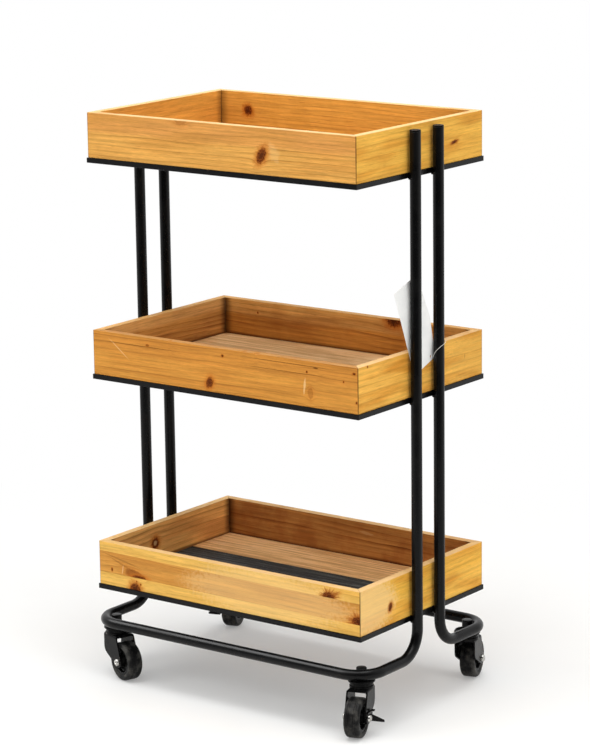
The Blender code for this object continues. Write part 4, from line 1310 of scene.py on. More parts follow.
@dataclass
class Castor:
    """A swivel castor: bush, swivel head, stamped fork, axle rivet, wheel and, on two of them, a brake lever.

    Its own frame has the swivel axis at the origin, the wheel trailing along +X and the rivet's peened end on +Y.
    """

    corner: str
    braked: bool
    wheel_radius: float = 0.0275
    tyre_half: float = 0.011
    tyre_shoulder: float = 0.0042
    groove: float = 0.0006
    rim_radius: float = 0.019
    rim_half: float = 0.0095
    rim_wall: float = 0.0035
    web_half: float = 0.0035
    hub_radius: float = 0.0075
    hub_half: float = 0.012
    axle_radius: float = 0.003
    head_radius: float = 0.0050
    head_height: float = 0.0035
    fork_inner: float = 0.0128
    fork_sheet: float = 0.0022
    fork_plate: float = 0.0035
    fork_bend: float = 0.004
    leg_back: float = 0.0118
    leg_front: float = 0.0195
    leg_shoulder: float = 0.019
    hip_radius: float = 0.012
    boss_radius: float = 0.008
    race_radius: float = 0.0165
    flange_radius: float = 0.0185
    flange_height: float = 0.005
    stem_radius: float = 0.004
    rivet_radius: float = 0.0065
    rivet_height: float = 0.002
    socket_radius: float = 0.0072
    pedal_sheet: float = 0.002
    pedal_disc: float = 0.0080
    pedal_arm: float = 0.017
    pedal_half_height: float = 0.0070
    pad_length: float = 0.017
    pad_root: float = 0.013
    pad_tip: float = 0.0028
    pad_slope: float = math.radians(62.0)
    pad_drop: float = 0.0082
    tab_width: float = 0.0042
    tab_length: float = 0.0035
    gap: float = 0.0003
    edge: float = 0.00035
    sides: int = 64
    to_frame: Matrix = field(default_factory=Matrix)
    trail: float = 0.0

    def build(self) -> None:
        """Find the castor in the frame and make its pieces."""
        stem_low, stem_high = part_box(f"{self.corner}_castor_stem")
        tyre_low, tyre_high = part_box(f"{self.corner}_tyre")
        swivel = (stem_low + stem_high) / 2.0
        wheel = (tyre_low + tyre_high) / 2.0
        arm = (wheel - swivel).xy
        self.trail = arm.length
        self.to_frame = (Matrix.Translation((swivel.x, swivel.y, 0.0))
                         @ Matrix.Rotation(math.atan2(arm.y, arm.x), 4, "Z"))
        self.fork_top = stem_low.z + self.rivet_height + self.gap + self.fork_plate
        self.socket(stem_high.z)
        self.stem(stem_low.z, stem_high.z)
        self.fork()
        self.axle()
        self.hub()
        self.tyre()
        if self.braked:
            self.pedal()

    def add(self, bm: bmesh.types.BMesh, name: str, body: str, slot: Slot, finish: Coating, node: str,
            sharp: float = math.radians(40.0)) -> bpy.types.Object:
        """Move a shape from the castor's own frame into the stand and make it a piece."""
        bmesh.ops.transform(bm, matrix=self.to_frame, verts=bm.verts)
        return mesh_piece(f"{self.corner}_{name}", bm, body, finish.material(), [f"{self.corner}_{node}"], sharp)

    def lay_along_y(self, bm: bmesh.types.BMesh, at_axle: bool = True) -> None:
        """Turn an upright turned shape so that its axis is the axle's."""
        bmesh.ops.rotate(bm, verts=bm.verts, cent=(0.0, 0.0, 0.0), matrix=Matrix.Rotation(-RIGHT_ANGLE, 3, "X"))
        if at_axle:
            bmesh.ops.translate(bm, verts=bm.verts, vec=(self.trail, 0.0, self.wheel_radius))

    def socket(self, stem_top: float) -> None:
        """The bush that is welded into the corner of the hoop, with its weld.

        Args:
            stem_top: height of the stem's end, inside the bush.
        """
        low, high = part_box(f"{self.corner}_castor_socket")
        bore = self.stem_radius + self.gap
        bm = turned([(0.0, stem_top + self.gap), (bore, stem_top + self.gap), (bore, low.z),
                     (self.socket_radius, low.z), (self.socket_radius, high.z), (0.0, high.z)], self.sides)
        ease_edges(bm, 0.0011, 3)
        self.add(bm, "welded_bush", "frame", Slot.TUBE, POWDER_COAT, "castor_socket")
        band = self.socket_radius * 0.16
        middle = high.z - 3.0 * band
        seam = turned([(self.socket_radius - band + band * math.cos(turn), middle + 1.6 * band * math.sin(turn))
                       for turn in (math.tau * step / 10 for step in range(10))], self.sides, closed=True)
        for corner in seam.verts:
            corner.co += corner.normal * noise.noise(corner.co * 500.0) * band * 0.5
        bmesh.ops.transform(seam, matrix=self.to_frame, verts=seam.verts)
        mesh_piece(f"{self.corner}_bush_weld", seam, "frame", WELD_PAINT.material())

    def stem(self, bottom: float, top: float) -> None:
        """Stem, pressed flange and the rivet below the fork.

        Args:
            bottom: height of the rivet's underside.
            top: height of the stem's end.
        """
        seat = bottom + self.rivet_height
        hoop_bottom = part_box(f"{self.corner}_castor_socket")[0].z
        flange_top = hoop_bottom - self.gap
        flange_bottom = flange_top - self.flange_height
        shoulder = self.flange_height * 0.45
        bm = turned([(0.0, bottom), (self.rivet_radius * 0.7, bottom), (self.rivet_radius, seat - self.gap),
                     (self.rivet_radius, seat), (self.stem_radius, seat), (self.stem_radius, flange_bottom),
                     (self.flange_radius - 0.0012, flange_bottom), (self.flange_radius, flange_bottom + 0.0006),
                     (self.flange_radius, flange_bottom + shoulder), (self.flange_radius - 0.0016, flange_top - 0.0006),
                     (self.flange_radius * 0.6, flange_top), (self.stem_radius, flange_top),
                     (self.stem_radius, top - 0.0008), (self.stem_radius - 0.0008, top), (0.0, top)], self.sides)
        ease_edges(bm, 0.0003, 2, math.radians(25.0))
        self.add(bm, "swivel_head", "frame", Slot.STEEL, STAMPED_PAINT, "castor_stem")

    def fork(self) -> None:
        """A U of bent sheet, trimmed to the legs' outline, with the lower race on top."""
        outer = self.fork_inner + self.fork_sheet
        top, plate = self.fork_top, self.fork_plate
        reach = self.trail + self.boss_radius + OVERRUN
        block = box_shape((-self.leg_back - OVERRUN, -outer, 0.0), (reach, outer, top))
        bends = [edge for edge in block.edges if all(v.co.z > top - MERGE for v in edge.verts)
                 and abs(edge.verts[0].co.y - edge.verts[1].co.y) < MERGE]
        bmesh.ops.bevel(block, geom=bends, offset=self.fork_bend, segments=8, profile=0.5, affect="EDGES", material=-1)
        room = box_shape((-self.leg_back - 2.0 * OVERRUN, -self.fork_inner, -OVERRUN),
                         (reach + OVERRUN, self.fork_inner, top - plate))
        inside = [edge for edge in room.edges if all(v.co.z > top - plate - MERGE for v in edge.verts)
                  and abs(edge.verts[0].co.y - edge.verts[1].co.y) < MERGE]
        bmesh.ops.bevel(room, geom=inside, offset=self.fork_bend * 0.4, segments=4, profile=0.5, affect="EDGES",
                        material=-1)
        channel = combined(block, room, "DIFFERENCE")
        outline = hull(drum(self.boss_radius, -outer - OVERRUN, outer + OVERRUN, 40, True, (self.trail, self.wheel_radius)),
                       drum(self.hip_radius, -outer - OVERRUN, outer + OVERRUN, 48, True,
                            (self.hip_radius - self.leg_back, top - self.leg_shoulder)),
                       box_shape((-self.leg_back, -outer - OVERRUN, top - self.leg_shoulder),
                                 (self.leg_front, outer + OVERRUN, top)))
        bm = combined(channel, outline, "INTERSECT")
        race = turned([(0.0, top - plate / 2.0), (self.race_radius, top - plate / 2.0), (self.race_radius, top + 0.0016),
                       (self.race_radius - 0.0012, top + 0.0026), (self.race_radius - 0.0012, top + 0.0040),
                       (self.race_radius, top + 0.0050), (self.race_radius, self.race_top() - 0.0003),
                       (self.race_radius - 0.0005, self.race_top()), (0.0, self.race_top())], self.sides)
        bm = combined(bm, race, "UNION")
        bm = combined(bm, drum(self.stem_radius + self.gap, top - 2.0 * plate, self.race_top() + OVERRUN, 40),
                      "DIFFERENCE")
        bm = combined(bm, drum(self.axle_radius + self.gap, -outer - OVERRUN, outer + OVERRUN, 32, True,
                               (self.trail, self.wheel_radius)), "DIFFERENCE")
        piece = self.add(bm, "stamped_fork", f"{self.corner}_swivel", Slot.STEEL, STAMPED_PAINT, "castor_fork")
        rounding = piece.modifiers.new("pressed_edges", "BEVEL")
        rounding.width = self.edge
        rounding.segments = 2
        rounding.limit_method = "ANGLE"
        rounding.angle_limit = math.radians(35.0)
        even_shading(piece)

    def race_top(self) -> float:
        """Height of the running face between the two halves of the swivel head."""
        hoop_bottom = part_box(f"{self.corner}_castor_socket")[0].z
        return hoop_bottom - 2.0 * self.gap - self.flange_height

    def axle(self) -> None:
        """A tubular rivet: a round head on one side and a peened end with a dimple on the other."""
        outer = self.fork_inner + self.fork_sheet + self.gap
        seat = outer + (self.pedal_sheet + self.gap if self.braked else 0.0)
        dimple = self.head_radius * 0.36
        deep = self.head_height * 0.45
        dome = self.head_height * 0.35

        def head(at: float, sign: float) -> list[tuple[float, float]]:
            """Profile of one end, from its middle out to the shank."""
            tip = at + sign * self.head_height
            return [(0.0, tip - sign * deep), (dimple * 0.7, tip - sign * deep), (dimple, tip - sign * 0.0002),
                    (dimple * 1.25, tip), (self.head_radius * 0.72, tip - sign * dome * 0.15),
                    (self.head_radius * 0.93, tip - sign * dome), (self.head_radius, tip - sign * 2.0 * dome),
                    (self.head_radius, at), (self.axle_radius, at)]

        profile = head(-outer, -1.0) + head(seat, 1.0)[::-1]
        bm = turned(profile, 48)
        self.lay_along_y(bm)
        self.add(bm, "axle_rivet", f"{self.corner}_swivel", Slot.ZINC, BRIGHT_ZINC, "castor_axle", math.radians(50.0))

    def hub(self) -> None:
        """Wheel centre: boss, dished web and rim."""
        bore = self.axle_radius + self.gap
        rim_inside = self.rim_radius - self.rim_wall
        dish = self.web_half + 0.0012
        side = [(bore, self.hub_half), (self.hub_radius * 0.8, self.hub_half), (self.hub_radius, self.hub_half - 0.0008),
                (self.hub_radius * 1.05, dish), (self.hub_radius + 0.0015, self.web_half),
                (rim_inside - 0.0015, self.web_half), (rim_inside - 0.0003, dish), (rim_inside, self.rim_half - 0.0006),
                (rim_inside + 0.0006, self.rim_half), (self.rim_radius, self.rim_half)]
        other = [(radius, -height) for radius, height in reversed(side)]
        bm = turned(side + other, self.sides, closed=True)
        self.lay_along_y(bm)
        self.add(bm, "wheel_centre", f"{self.corner}_wheel", Slot.PLASTIC, MOULDED_BLACK, "wheel_hub")

    def tyre(self) -> None:
        """Tyre with round shoulders and shallow grooves at both sides of its tread."""
        seat = self.rim_radius + self.gap
        radius, half, shoulder = self.wheel_radius, self.tyre_half, self.tyre_shoulder
        side = [(seat, self.rim_half), (seat + 0.0008, self.rim_half + 0.0009), (seat + 0.0022, half - 0.0002),
                (radius - shoulder - 0.0006, half)]
        for step in range(1, 8):
            turn = RIGHT_ANGLE * step / 8.0
            side.append((radius - shoulder + shoulder * math.sin(turn), half - shoulder + shoulder * math.cos(turn)))
        tread = half - shoulder
        for at in (0.86, 0.50):
            middle, wide = tread * at, self.groove * 0.9
            side += [(radius, middle + wide), (radius - self.groove, middle + wide * 0.45),
                     (radius - self.groove, middle - wide * 0.45), (radius, middle - wide)]
        other = [(around, -along) for around, along in reversed(side)]
        bm = turned(side + other, 96, closed=True)
        self.lay_along_y(bm)
        self.add(bm, "rubber_tyre", f"{self.corner}_wheel", Slot.RUBBER, TYRE_RUBBER, "tyre", math.radians(32.0))

    def pedal(self) -> None:
        """Stamped brake lever: a plate on the axle with a sloping pad and a small tab turned out."""
        inner = self.fork_inner + self.fork_sheet + self.gap
        outer = inner + self.pedal_sheet
        half = self.pedal_sheet / 2.0
        bm = combined(drum(self.pedal_disc, inner, outer, 48, True),
                      box_shape((-self.pedal_arm, inner, -self.pedal_half_height), (0.0, outer, self.pedal_half_height)),
                      "UNION")
        pad = box_shape((0.0, inner + half, -half), (self.pad_root, outer + self.pad_length, half))
        tip = [v for v in pad.verts if v.co.y > outer and v.co.x > self.pad_tip]
        bmesh.ops.translate(pad, verts=tip, vec=(self.pad_tip - self.pad_root, 0.0, 0.0))
        slope = Matrix.Translation((half - self.pedal_arm, 0.0, -self.pad_drop)) @ Matrix.Rotation(-self.pad_slope, 4, "Y")
        bmesh.ops.transform(pad, matrix=slope, verts=pad.verts)
        bm = combined(bm, pad, "UNION")
        tab = box_shape((-self.pedal_arm, inner + half, self.pedal_half_height - half),
                        (self.tab_width - self.pedal_arm, outer + self.tab_length, self.pedal_half_height + half))
        bm = combined(bm, tab, "UNION")
        bm = combined(bm, drum(self.axle_radius + self.gap, inner - OVERRUN, outer + OVERRUN, 32, True), "DIFFERENCE")
        bmesh.ops.translate(bm, verts=bm.verts, vec=(self.trail, 0.0, self.wheel_radius))
        piece = self.add(bm, "brake_lever", f"{self.corner}_brake", Slot.STEEL, STAMPED_PAINT, "brake_pedal")
        rounding = piece.modifiers.new("pressed_edges", "BEVEL")
        rounding.width = self.edge
        rounding.segments = 2
        rounding.limit_method = "ANGLE"
        rounding.angle_limit = math.radians(35.0)
        even_shading(piece)


@dataclass
class SwingTag:
    """A bare card wedged behind the posts and the nylon loop that holds it."""

    width: float = 0.054
    length: float = 0.126
    thickness: float = 0.0004
    corner: float = 0.004
    tilt: float = math.radians(20.0)
    centre_y: float = -0.0154
    centre_height: float = 0.103
    post_radius: float = 0.0075
    gap: float = 0.0003
    hole_side_inset: float = 0.011
    hole_end_inset: float = 0.006
    hole_radius: float = 0.0016
    curl: float = 0.0035
    bulge: float = 0.0055
    loop_radius: float = 0.00028
    loop_clearance: float = 0.0018
    loop_rise: float = 0.020
    loop_fullness: float = 0.7

    def to_frame(self) -> Matrix:
        """Place of the card: its own X runs across it, Y up it and Z out through its face."""
        low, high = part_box("rear_right_post_cap")
        post_x = (low.x + high.x) / 2.0
        rail_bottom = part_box("middle_rail")[0].z
        stand_up = Matrix.Rotation(RIGHT_ANGLE, 4, "Z") @ Matrix.Rotation(RIGHT_ANGLE, 4, "X")
        middle = (post_x - self.post_radius - self.gap - self.thickness / 2.0, self.centre_y,
                  rail_bottom + self.centre_height)
        return Matrix.Translation(middle) @ Matrix.Rotation(self.tilt, 4, "X") @ stand_up

    def build(self) -> None:
        """Make the card and its loop."""
        self.card()
        self.loop()

    def card(self) -> None:
        """A thin sheet with round corners and a punched hole, which curls away above the tray."""
        bm = bmesh.new()
        bmesh.ops.create_grid(bm, x_segments=1, y_segments=1, size=0.5,
                              matrix=Matrix.Diagonal((self.width, self.length, 1.0, 1.0)))
        bmesh.ops.bevel(bm, geom=bm.verts[:], offset=self.corner, segments=6, profile=0.5, affect="VERTICES",
                        material=-1)
        for axis, size, count in ((0, self.width, 14), (1, self.length, 32)):
            for step in range(1, count):
                cut, square = Vector((0.0, 0.0, 0.0)), Vector((0.0, 0.0, 0.0))
                cut[axis] = size * (step / count - 0.5)
                square[axis] = 1.0
                bmesh.ops.bisect_plane(bm, geom=bm.verts[:] + bm.edges[:] + bm.faces[:], dist=MERGE, plane_co=cut,
                                       plane_no=square)
        bmesh.ops.recalc_face_normals(bm, faces=bm.faces)
        bmesh.ops.solidify(bm, geom=bm.faces[:], thickness=self.thickness)
        bmesh.ops.translate(bm, verts=bm.verts, vec=(0.0, 0.0, -self.thickness / 2.0))
        middle = self.hole_place()
        hole = drum(self.hole_radius, -self.thickness * 3.0, self.thickness * 3.0, 24, False, (middle.x, middle.y))
        bm = combined(bm, hole, "DIFFERENCE")
        for corner in bm.verts:
            across, up = corner.co.x / self.width, corner.co.y / self.length
            free = max(0.0, up + 0.05)
            corner.co.z -= self.curl * (free ** 1.6) * 1.6 * (1.0 - 0.5 * across)
            outside = min(max((across - 0.05) / 0.45, 0.0), 1.0)
            above = min(max((up + 0.24) / 0.14, 0.0), 1.0)
            below = min(max((0.5 - up) / 0.35, 0.25), 1.0)
            corner.co.z += self.bulge * outside * outside * above * below
        bmesh.ops.transform(bm, matrix=self.to_frame(), verts=bm.verts)
        mesh_piece("blank_card", bm, "frame", BLANK_CARD.material(), ["swing_tag"])

    def hole_place(self) -> Vector:
        """Middle of the punched hole, on the card."""
        return Vector((self.width / 2.0 - self.hole_side_inset, self.hole_end_inset - self.length / 2.0, 0.0))

    def loop(self) -> None:
        """A thin ring through the hole, behind the rear right post and back in front of it."""
        low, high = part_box("rear_right_post_cap")
        post = (low + high) / 2.0
        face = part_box("middle_right_board")[1].x
        hole = self.to_frame() @ self.hole_place()
        behind = face + self.gap + self.loop_radius
        before = post.x - self.post_radius + self.loop_radius
        free = self.post_radius + self.loop_clearance
        points = [Vector((before, hole.y - self.hole_radius / 2.0, hole.z)),
                  Vector((behind, hole.y + self.hole_radius / 2.0, hole.z))]
        steps = 48
        for step in range(steps + 1):
            turn = math.radians(200.0) - math.radians(310.0) * step / steps
            x = max(post.x + free * math.cos(turn), behind)
            y = post.y + free * math.sin(turn)
            rise = self.loop_rise * max(math.sin(math.pi * step / steps), 0.0) ** self.loop_fullness
            points.append(Vector((x, y, hole.z + rise)))
        curve = bpy.data.curves.new("loop_path", "CURVE")
        curve.dimensions = "3D"
        curve.bevel_depth = self.loop_radius
        curve.bevel_resolution = 3
        spline = curve.splines.new("POLY")
        spline.points.add(len(points) - 1)
        spline.use_cyclic_u = True
        for corner, point in zip(spline.points, points):
            corner.co = (*point, 1.0)
        guide = bpy.data.objects.new("loop_guide", curve)
        bpy.context.scene.collection.objects.link(guide)
        bpy.context.view_layer.update()
        bm = bmesh.new()
        bm.from_mesh(guide.evaluated_get(bpy.context.evaluated_depsgraph_get()).to_mesh())
        bpy.data.objects.remove(guide, do_unlink=True)
        bpy.data.curves.remove(curve)
        bmesh.ops.recalc_face_normals(bm, faces=bm.faces)
        mesh_piece("nylon_loop", bm, "frame", CLEAR_NYLON.material(), ["tag_loop"])


@dataclass
class Studio:
    """Pale floor, white surround, soft lamps and the camera."""

    floor_half: float = 20.0
    floor_near: float = 1.25
    floor_colour: Colour = (0.90, 0.90, 0.885)
    shade_from: float = 0.45
    shade_to: float = 1.2
    world_light: float = 0.48
    dim_room: float = 0.10
    near_glow: float = 0.22
    wall_heading: tuple[float, float, float] = (-0.42, 0.91, 0.0)
    wall_from: float = -0.90
    wall_to: float = 0.10
    camera_place: tuple[float, float, float] = (2.4157, -3.2240, 1.3433)
    camera_right: tuple[float, float, float] = (0.80354, 0.59511, -0.01333)
    camera_down: tuple[float, float, float] = (0.12043, -0.18445, -0.97543)
    camera_ahead: tuple[float, float, float] = (-0.58295, 0.78219, -0.21989)
    focal_pixels: float = 2980.7
    frame_height: float = 756.0
    sensor: float = 36.0

    def build(self) -> None:
        """Set the whole studio."""
        self.floor()
        self.world()
        self.lamp("ceiling_softbox", (0.3, -0.5, 3.2), (0.0, 0.0, 0.4), 3.0, 2.4, 88.0)
        for name, place, power in (("front_left_softbox", (-2.4, -3.1, 1.8), 30.0),
                                   ("front_softbox", (1.2, -4.0, 1.9), 22.0),
                                   ("right_softbox", (3.2, -0.6, 1.6), 26.0)):
            lamp = self.lamp(name, place, (0.0, 0.0, 0.45), 2.0, 2.0, power)
            lamp.visible_glossy = False
        shine = self.lamp("shine_softbox", (-2.4, -1.3, 3.2), (0.0, 0.0, 0.2), 2.6, 2.0, 150.0)
        shine.visible_diffuse = False
        self.camera()
        bpy.context.scene.view_settings.view_transform = "Standard"

    def floor(self) -> None:
        """A wide floor that is pale near the stand and white further off."""
        bm = bmesh.new()
        ahead = Vector(self.camera_ahead).xy.normalized()
        middle = (ahead * (self.floor_half - self.floor_near)).to_3d()
        turn = Matrix.Rotation(math.atan2(ahead.y, ahead.x), 4, "Z")
        bmesh.ops.create_grid(bm, x_segments=1, y_segments=1, size=self.floor_half,
                              matrix=Matrix.Translation(middle) @ turn)
        mesh = bpy.data.meshes.new("studio_floor")
        bm.to_mesh(mesh)
        bm.free()
        material, recipe, shader = new_material("studio_floor_paint")
        place = recipe.object_place()
        patina = PATINA.place(recipe, place=place, patches=3.0, specks=40.0)
        shader.inputs["Roughness"].default_value = 0.7
        recipe.feed(shader.inputs["Base Color"],
                    recipe.mix(recipe.math("MULTIPLY", patina["Patch"], 0.25), self.floor_colour, (0.84, 0.84, 0.825)))
        distance = recipe.node("ShaderNodeVectorMath", {0: place}, operation="LENGTH").outputs["Value"]
        far = recipe.spread(recipe.step(distance, self.shade_from, self.shade_to), self.near_glow, 1.0)
        path = recipe.node("ShaderNodeLightPath").outputs
        seen = recipe.math("MAXIMUM", path["Is Camera Ray"],
                           recipe.math("MAXIMUM", path["Is Glossy Ray"], path["Is Transmission Ray"]))
        glow = recipe.node("ShaderNodeEmission", {"Color": (1.0, 1.0, 1.0), "Strength": 1.0})
        blend = recipe.node("ShaderNodeMixShader", {0: recipe.math("MULTIPLY", far, seen), 1: shader.outputs[0],
                                                    2: glow.outputs[0]})
        end = material.node_tree.nodes["Material Output"]
        recipe.feed(end.inputs["Surface"], blend.outputs[0])
        mesh.materials.append(material)
        floor = bpy.data.objects.new("studio_floor", mesh)
        bpy.context.scene.collection.objects.link(floor)

    def world(self) -> None:
        """White wall behind the stand, a dim room behind the camera, and a plain even light on the stand."""
        world = bpy.data.worlds.new("studio_world")
        world.use_nodes = True
        bpy.context.scene.world = world
        recipe = Recipe(world.node_tree)
        path = recipe.node("ShaderNodeLightPath").outputs
        seen = recipe.math("MAXIMUM", path["Is Camera Ray"],
                           recipe.math("MAXIMUM", path["Is Glossy Ray"], path["Is Transmission Ray"]))
        back = world.node_tree.nodes["Background"]
        back.inputs["Color"].default_value = (1.0, 1.0, 1.0, 1.0)
        heading = recipe.node("ShaderNodeTexCoord").outputs["Generated"]
        facing = recipe.node("ShaderNodeVectorMath", {0: heading, 1: self.wall_heading}, operation="DOT_PRODUCT")
        wall = recipe.step(facing.outputs["Value"], self.wall_from, self.wall_to)
        shown = recipe.spread(recipe.math("MAXIMUM", wall, path["Is Camera Ray"]), self.dim_room, 1.0)
        level = recipe.node("ShaderNodeMapRange", {"Value": seen, "To Min": self.world_light, "To Max": shown})
        recipe.feed(back.inputs["Strength"], level.outputs[0])

    def lamp(self, name: str, place: Sequence[float], target: Sequence[float], wide: float, tall: float,
             power: float) -> bpy.types.Object:
        """Hang a soft lamp.

        Args:
            name: the lamp's name.
            place: where it hangs.
            target: what it faces.
            wide: its width.
            tall: its height.
            power: its power in watts.

        Returns:
            The lamp.
        """
        light = bpy.data.lights.new(name, "AREA")
        light.shape = "RECTANGLE"
        light.size = wide
        light.size_y = tall
        light.energy = power
        lamp = bpy.data.objects.new(name, light)
        lamp.location = place
        lamp.rotation_euler = (Vector(target) - Vector(place)).to_track_quat("-Z", "Y").to_euler()
        bpy.context.scene.collection.objects.link(lamp)
        return lamp

    def camera(self) -> None:
        """The camera at the photograph's place and angle."""
        data = bpy.data.cameras.new("camera")
        data.sensor_width = self.sensor
        data.lens = self.focal_pixels * self.sensor / self.frame_height
        data.clip_start = 0.1
        data.clip_end = 200.0
        camera = bpy.data.objects.new("camera", data)
        axes = Matrix((self.camera_right, -Vector(self.camera_down), -Vector(self.camera_ahead))).transposed()
        camera.matrix_world = Matrix.Translation(self.camera_place) @ axes.to_4x4()
        bpy.context.scene.collection.objects.link(camera)
        bpy.context.scene.camera = camera


def top_woods() -> dict[Side, Pine]:
    """The top tray: bright yellow pine with a warmer upper half, orange inside."""
    honey, amber = (0.75, 0.385, 0.088), (0.62, 0.285, 0.058)
    front = Pine((Stave(honey, amber, seed=1.3, spacing=0.0062, slope=0.004, wobble=0.006,
                        heart=(0.65, 0.280, 0.072), heart_from=0.52),), (
        Knot(0.0727, 0.0252, 0.0098, 0.70, -0.35, rays=0.12), Knot(-0.0620, 0.0620, 0.0062, 1.6, 0.0, 0.30, 0.0)), (
        ScarOrShade(0.0930, 0.0300, 0.0170, 0.0110, math.radians(-62.0), True, 0.17),), (0.88, 0.66, 0.50))
    right = Pine((Stave((0.84, 0.465, 0.079), (0.66, 0.29, 0.038), seed=2.7, spacing=0.0075, wobble=0.01,
                        pith_up=-0.06, pith_through=0.05, slope=0.01, figure=0.55, clouds=0.9),), (
        Knot(0.0790, 0.0268, 0.0024, 2.6, -1.2, 0.95, 0.3),), (
        ScarOrShade(0.0800, 0.0270, 0.0125, 0.0012, math.radians(14.0)),), (0.88, 0.66, 0.50), streaks=0.65)
    rear = Pine((Stave((0.73, 0.36, 0.075), amber, seed=3.9, spacing=0.0055),),
                (Knot(0.1657, 0.0360, 0.0066, 1.0, 0.0, 1.0, 0.25),), (), (0.745, 0.70, 0.57))
    left = Pine((Stave((0.74, 0.37, 0.075), amber, seed=5.1, spacing=0.0050, wobble=0.016),), (), (),
                (0.86, 0.80, 0.72))
    return {Side.FRONT: front, Side.RIGHT: right, Side.REAR: rear, Side.LEFT: left}


def middle_woods() -> dict[Side, Pine]:
    """The middle tray: deeper orange pine, darker inside."""
    orange, rust = (0.66, 0.295, 0.052), (0.52, 0.205, 0.033)
    tan, umber = (0.92, 0.54, 0.17), (0.40, 0.145, 0.030)
    front = Pine((Stave(orange, rust, seed=7.2, spacing=0.0085, slope=0.006, wobble=0.007,
                        heart=(0.58, 0.235, 0.040), heart_from=0.50),), (
        Knot(-0.0210, 0.0123, 0.0072, 0.80, -0.2, 0.95, 0.0), Knot(0.1423, 0.0470, 0.0014),
        Knot(0.2017, 0.0407, 0.0012), Knot(0.0017, 0.0520, 0.0016, 1.3, 0.0, 0.9, 0.0),
        Knot(-0.1283, 0.0510, 0.0016, 1.6, 0.0, 0.6, 0.0), Knot(0.1480, 0.0190, 0.0070, 0.6, 0.0, 0.28, 0.0),
        Knot(0.2222, 0.0150, 0.0014), Knot(0.2185, 0.0535, 0.0014, 1.6)), (
        ScarOrShade(-0.1795, 0.0405, 0.0270, 0.0010, math.radians(-37.0), True, 0.40),
        ScarOrShade(0.1383, 0.0270, 0.0140, 0.0022, math.radians(84.0), True, 0.50),
        ScarOrShade(0.1567, 0.0537, 0.0055, 0.0014, 0.0), ScarOrShade(-0.1400, 0.0487, 0.0850, 0.0006, 0.0),
        ScarOrShade(0.1050, 0.0437, 0.0900, 0.0005, 0.0), ScarOrShade(0.1100, 0.0550, 0.1000, 0.0006, 0.0)),
        (0.60, 0.46, 0.42), 0.6, (0.55, 0.275, 0.080))
    right = Pine((Stave((0.85, 0.460, 0.086), (0.64, 0.27, 0.034), seed=8.4, spacing=0.009, wobble=0.014,
                        pith_up=-0.05, pith_through=0.05, slope=0.008, figure=0.5, clouds=1.0),),
                 (Knot(-0.1261, 0.0600, 0.0014),),
                 (ScarOrShade(0.1042, 0.0320, 0.0045, 0.0006, math.radians(85.0)),
                  # painted shade: a soft dark patch on the right board towards the rear post
                  ScarOrShade(0.1250, 0.0310, 0.0700, 0.0550, 0.0, False, 0.10)), (0.60, 0.46, 0.42),
                 streaks=0.65)
    rear = Pine((Stave((0.62, 0.275, 0.055), umber, seed=9.6, spacing=0.007, heart=tan, heart_from=0.60),),
                (Knot(-0.0854, 0.0600, 0.0080, 1.5, 0.0, 1.0, 0.1), Knot(0.1543, 0.0455, 0.0012)), (),
                (0.73, 0.63, 0.54), 0.85, (0.76, 0.44, 0.16))
    left = Pine((Stave((0.70, 0.35, 0.080), umber, seed=11.2, spacing=0.0065, wobble=0.02, heart=tan,
                       heart_from=0.66),), (), (), (0.75, 0.69, 0.82), 0.8, (0.76, 0.44, 0.16))
    return {Side.FRONT: front, Side.RIGHT: right, Side.REAR: rear, Side.LEFT: left}


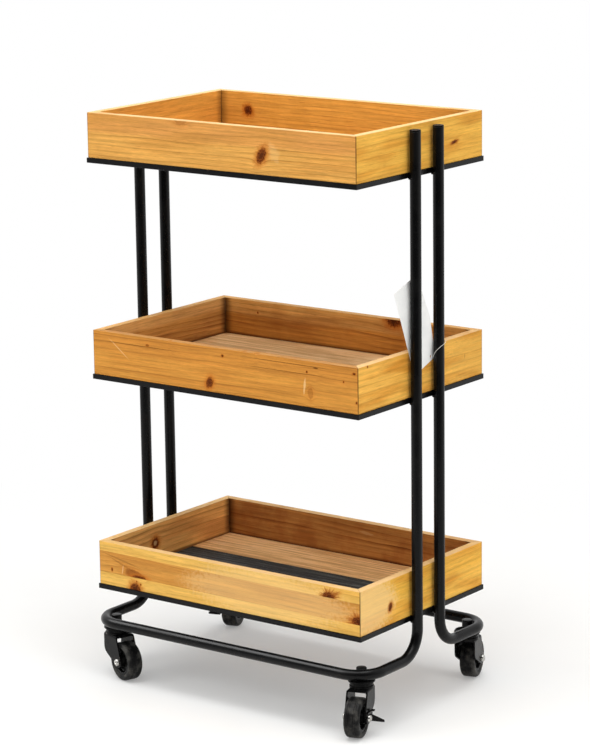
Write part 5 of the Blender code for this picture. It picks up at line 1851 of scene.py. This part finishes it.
def lower_woods() -> dict[Side, Pine]:
    """The lower tray: pale boards glued from contrasting staves, with the boldest knots."""
    cream, straw = (0.78, 0.465, 0.108), (0.68, 0.360, 0.067)
    tan, russet = (0.63, 0.300, 0.062), (0.48, 0.190, 0.034)
    umber = (0.40, 0.145, 0.030)
    lower_stave = Stave(cream, straw, seed=13.4, spacing=0.0110, slope=0.004, wobble=0.006, figure=0.6)
    middle_stave = Stave(tan, russet, 0.0169, -0.006, 13.9, 0.0062, -0.022, 0.018, -0.006, 0.0, 0.009,
                         figure=0.75)
    upper_stave = Stave(cream, straw, 0.0470, -0.0075, 15.1, 0.0100, -0.05, 0.04, 0.006, 0.0, 0.007,
                        figure=0.6)
    front = Pine((lower_stave, middle_stave, upper_stave), (
        Knot(-0.2025, 0.0235, 0.0026, 0.55, 0.0, 0.9, 0.0),
        Knot(-0.1620, 0.0215, 0.0080, 1.9, 0.9, 0.42, 0.1, above=0.0179),
        Knot(-0.1530, 0.0185, 0.0036, 3.4, 0.0, 0.95, 0.0, above=0.0179),
        Knot(-0.1610, 0.0020, 0.0078, 1.15, 0.0, 1.0, 0.1, below=0.0176),
        Knot(-0.1580, 0.0127, 0.0012, 1.0, 0.0, 0.8, 0.0), Knot(-0.1510, 0.0095, 0.0012, 1.0, 0.0, 0.8, 0.0),
        Knot(0.1733, 0.0470, 0.0058, 1.6, 0.0, 1.0, 0.75, above=0.0456),
        Knot(0.2225, 0.0205, 0.0060, 1.7, 0.0, 1.0, 0.65, above=0.0158, below=0.0450)), (
        ScarOrShade(0.0700, 0.0300, 0.1700, 0.0550, 0.0, True, 0.32),
        ScarOrShade(-0.1830, 0.0260, 0.0090, 0.0012, math.radians(80.0), True),
        ScarOrShade(-0.1850, 0.0395, 0.0420, 0.0016, math.radians(-11.0), False, 0.30),
        ScarOrShade(-0.1800, 0.0320, 0.0330, 0.0018, math.radians(-19.0), False, 0.34)),
        (0.50, 0.36, 0.34), streaks=0.65)
    right = Pine((Stave((0.86, 0.490, 0.085), (0.68, 0.29, 0.034), seed=14.9, spacing=0.011, wobble=0.014,
                        pith_up=-0.06, pith_through=0.05, slope=0.008, heart=(0.80, 0.43, 0.060),
                        heart_from=0.45, figure=0.5, clouds=0.9),),
                 (Knot(-0.0775, 0.0240, 0.0056, 0.75, -0.2, 1.0, 0.0),),
                 (ScarOrShade(-0.1250, 0.0340, 0.0750, 0.0550, 0.0, True, 0.56),), (0.50, 0.36, 0.34), streaks=0.65)
    rear = Pine((Stave((0.66, 0.32, 0.085), umber, seed=16.1, spacing=0.008),), (),
                (ScarOrShade(-0.0900, 0.0353, 0.0350, 0.0008, 0.0), ScarOrShade(-0.0350, 0.0470, 0.0160, 0.0030, 0.1, True, 0.3)),
                (0.54, 0.405, 0.36), 0.85)
    left = Pine((Stave((0.92, 0.53, 0.150), (0.52, 0.22, 0.055), seed=17.3, spacing=0.008, slope=0.006,
                       wobble=0.009, figure=0.7),),
                (Knot(0.0365, 0.0337, 0.0074, 1.0, 0.0, 1.0, 0.1, 0.55),), (), (0.98, 0.86, 0.92), 0.8)
    return {Side.FRONT: front, Side.RIGHT: right, Side.REAR: rear, Side.LEFT: left}


def build_trays() -> None:
    """The three trays with their floors."""
    brown = WeatheredPlank(21.0, (0.92, 0.60, 0.29), (0.50, 0.27, 0.102), (0.95, 0.75, 0.46), 0.70)
    worn_brown = WeatheredPlank(23.0, (0.94, 0.57, 0.24), (0.46, 0.22, 0.075), (0.95, 0.68, 0.42), 0.50)
    black = WeatheredPlank(25.0, (0.022, 0.022, 0.021), (0.005, 0.005, 0.005), (0.190, 0.205, 0.205), 0.62)
    floors = {
        "top": [FloorPlank("top_floor", "top_floor_panel", Slot.BROWN_FLOOR, brown)],
        "middle": [FloorPlank("middle_floor", "middle_floor_panel", Slot.BROWN_FLOOR, brown)],
        "lower": [FloorPlank("lower_rear_floor_plank", "lower_rear_plank", Slot.BROWN_FLOOR, worn_brown),
                  FloorPlank("lower_front_floor_plank", "lower_front_plank", Slot.BLACK_FLOOR, black)],
    }
    chips = {"top": (), "lower": ((-0.05, 0.004, 0.0006),),
             "middle": ((0.037, 0.006, 0.0016), (0.058, 0.007, 0.0020), (-0.09, 0.006, 0.0012), (0.10, 0.004, 0.001))}
    woods = {"top": top_woods(), "middle": middle_woods(), "lower": lower_woods()}
    for label, boards in woods.items():
        Tray(label, boards, floors[label], chips[label]).build()


def main() -> None:
    """Dress the stand and set the studio."""
    logging.basicConfig(level=logging.INFO, format="%(message)s")
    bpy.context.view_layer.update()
    TubeHoop("front", -1.0).build()
    TubeHoop("rear", 1.0).build()
    build_trays()
    for corner, braked in (("front_left", False), ("front_right", True), ("rear_right", False), ("rear_left", True)):
        Castor(corner, braked).build()
    SwingTag().build()
    Studio().build()


if __name__ == "__main__":
    main()
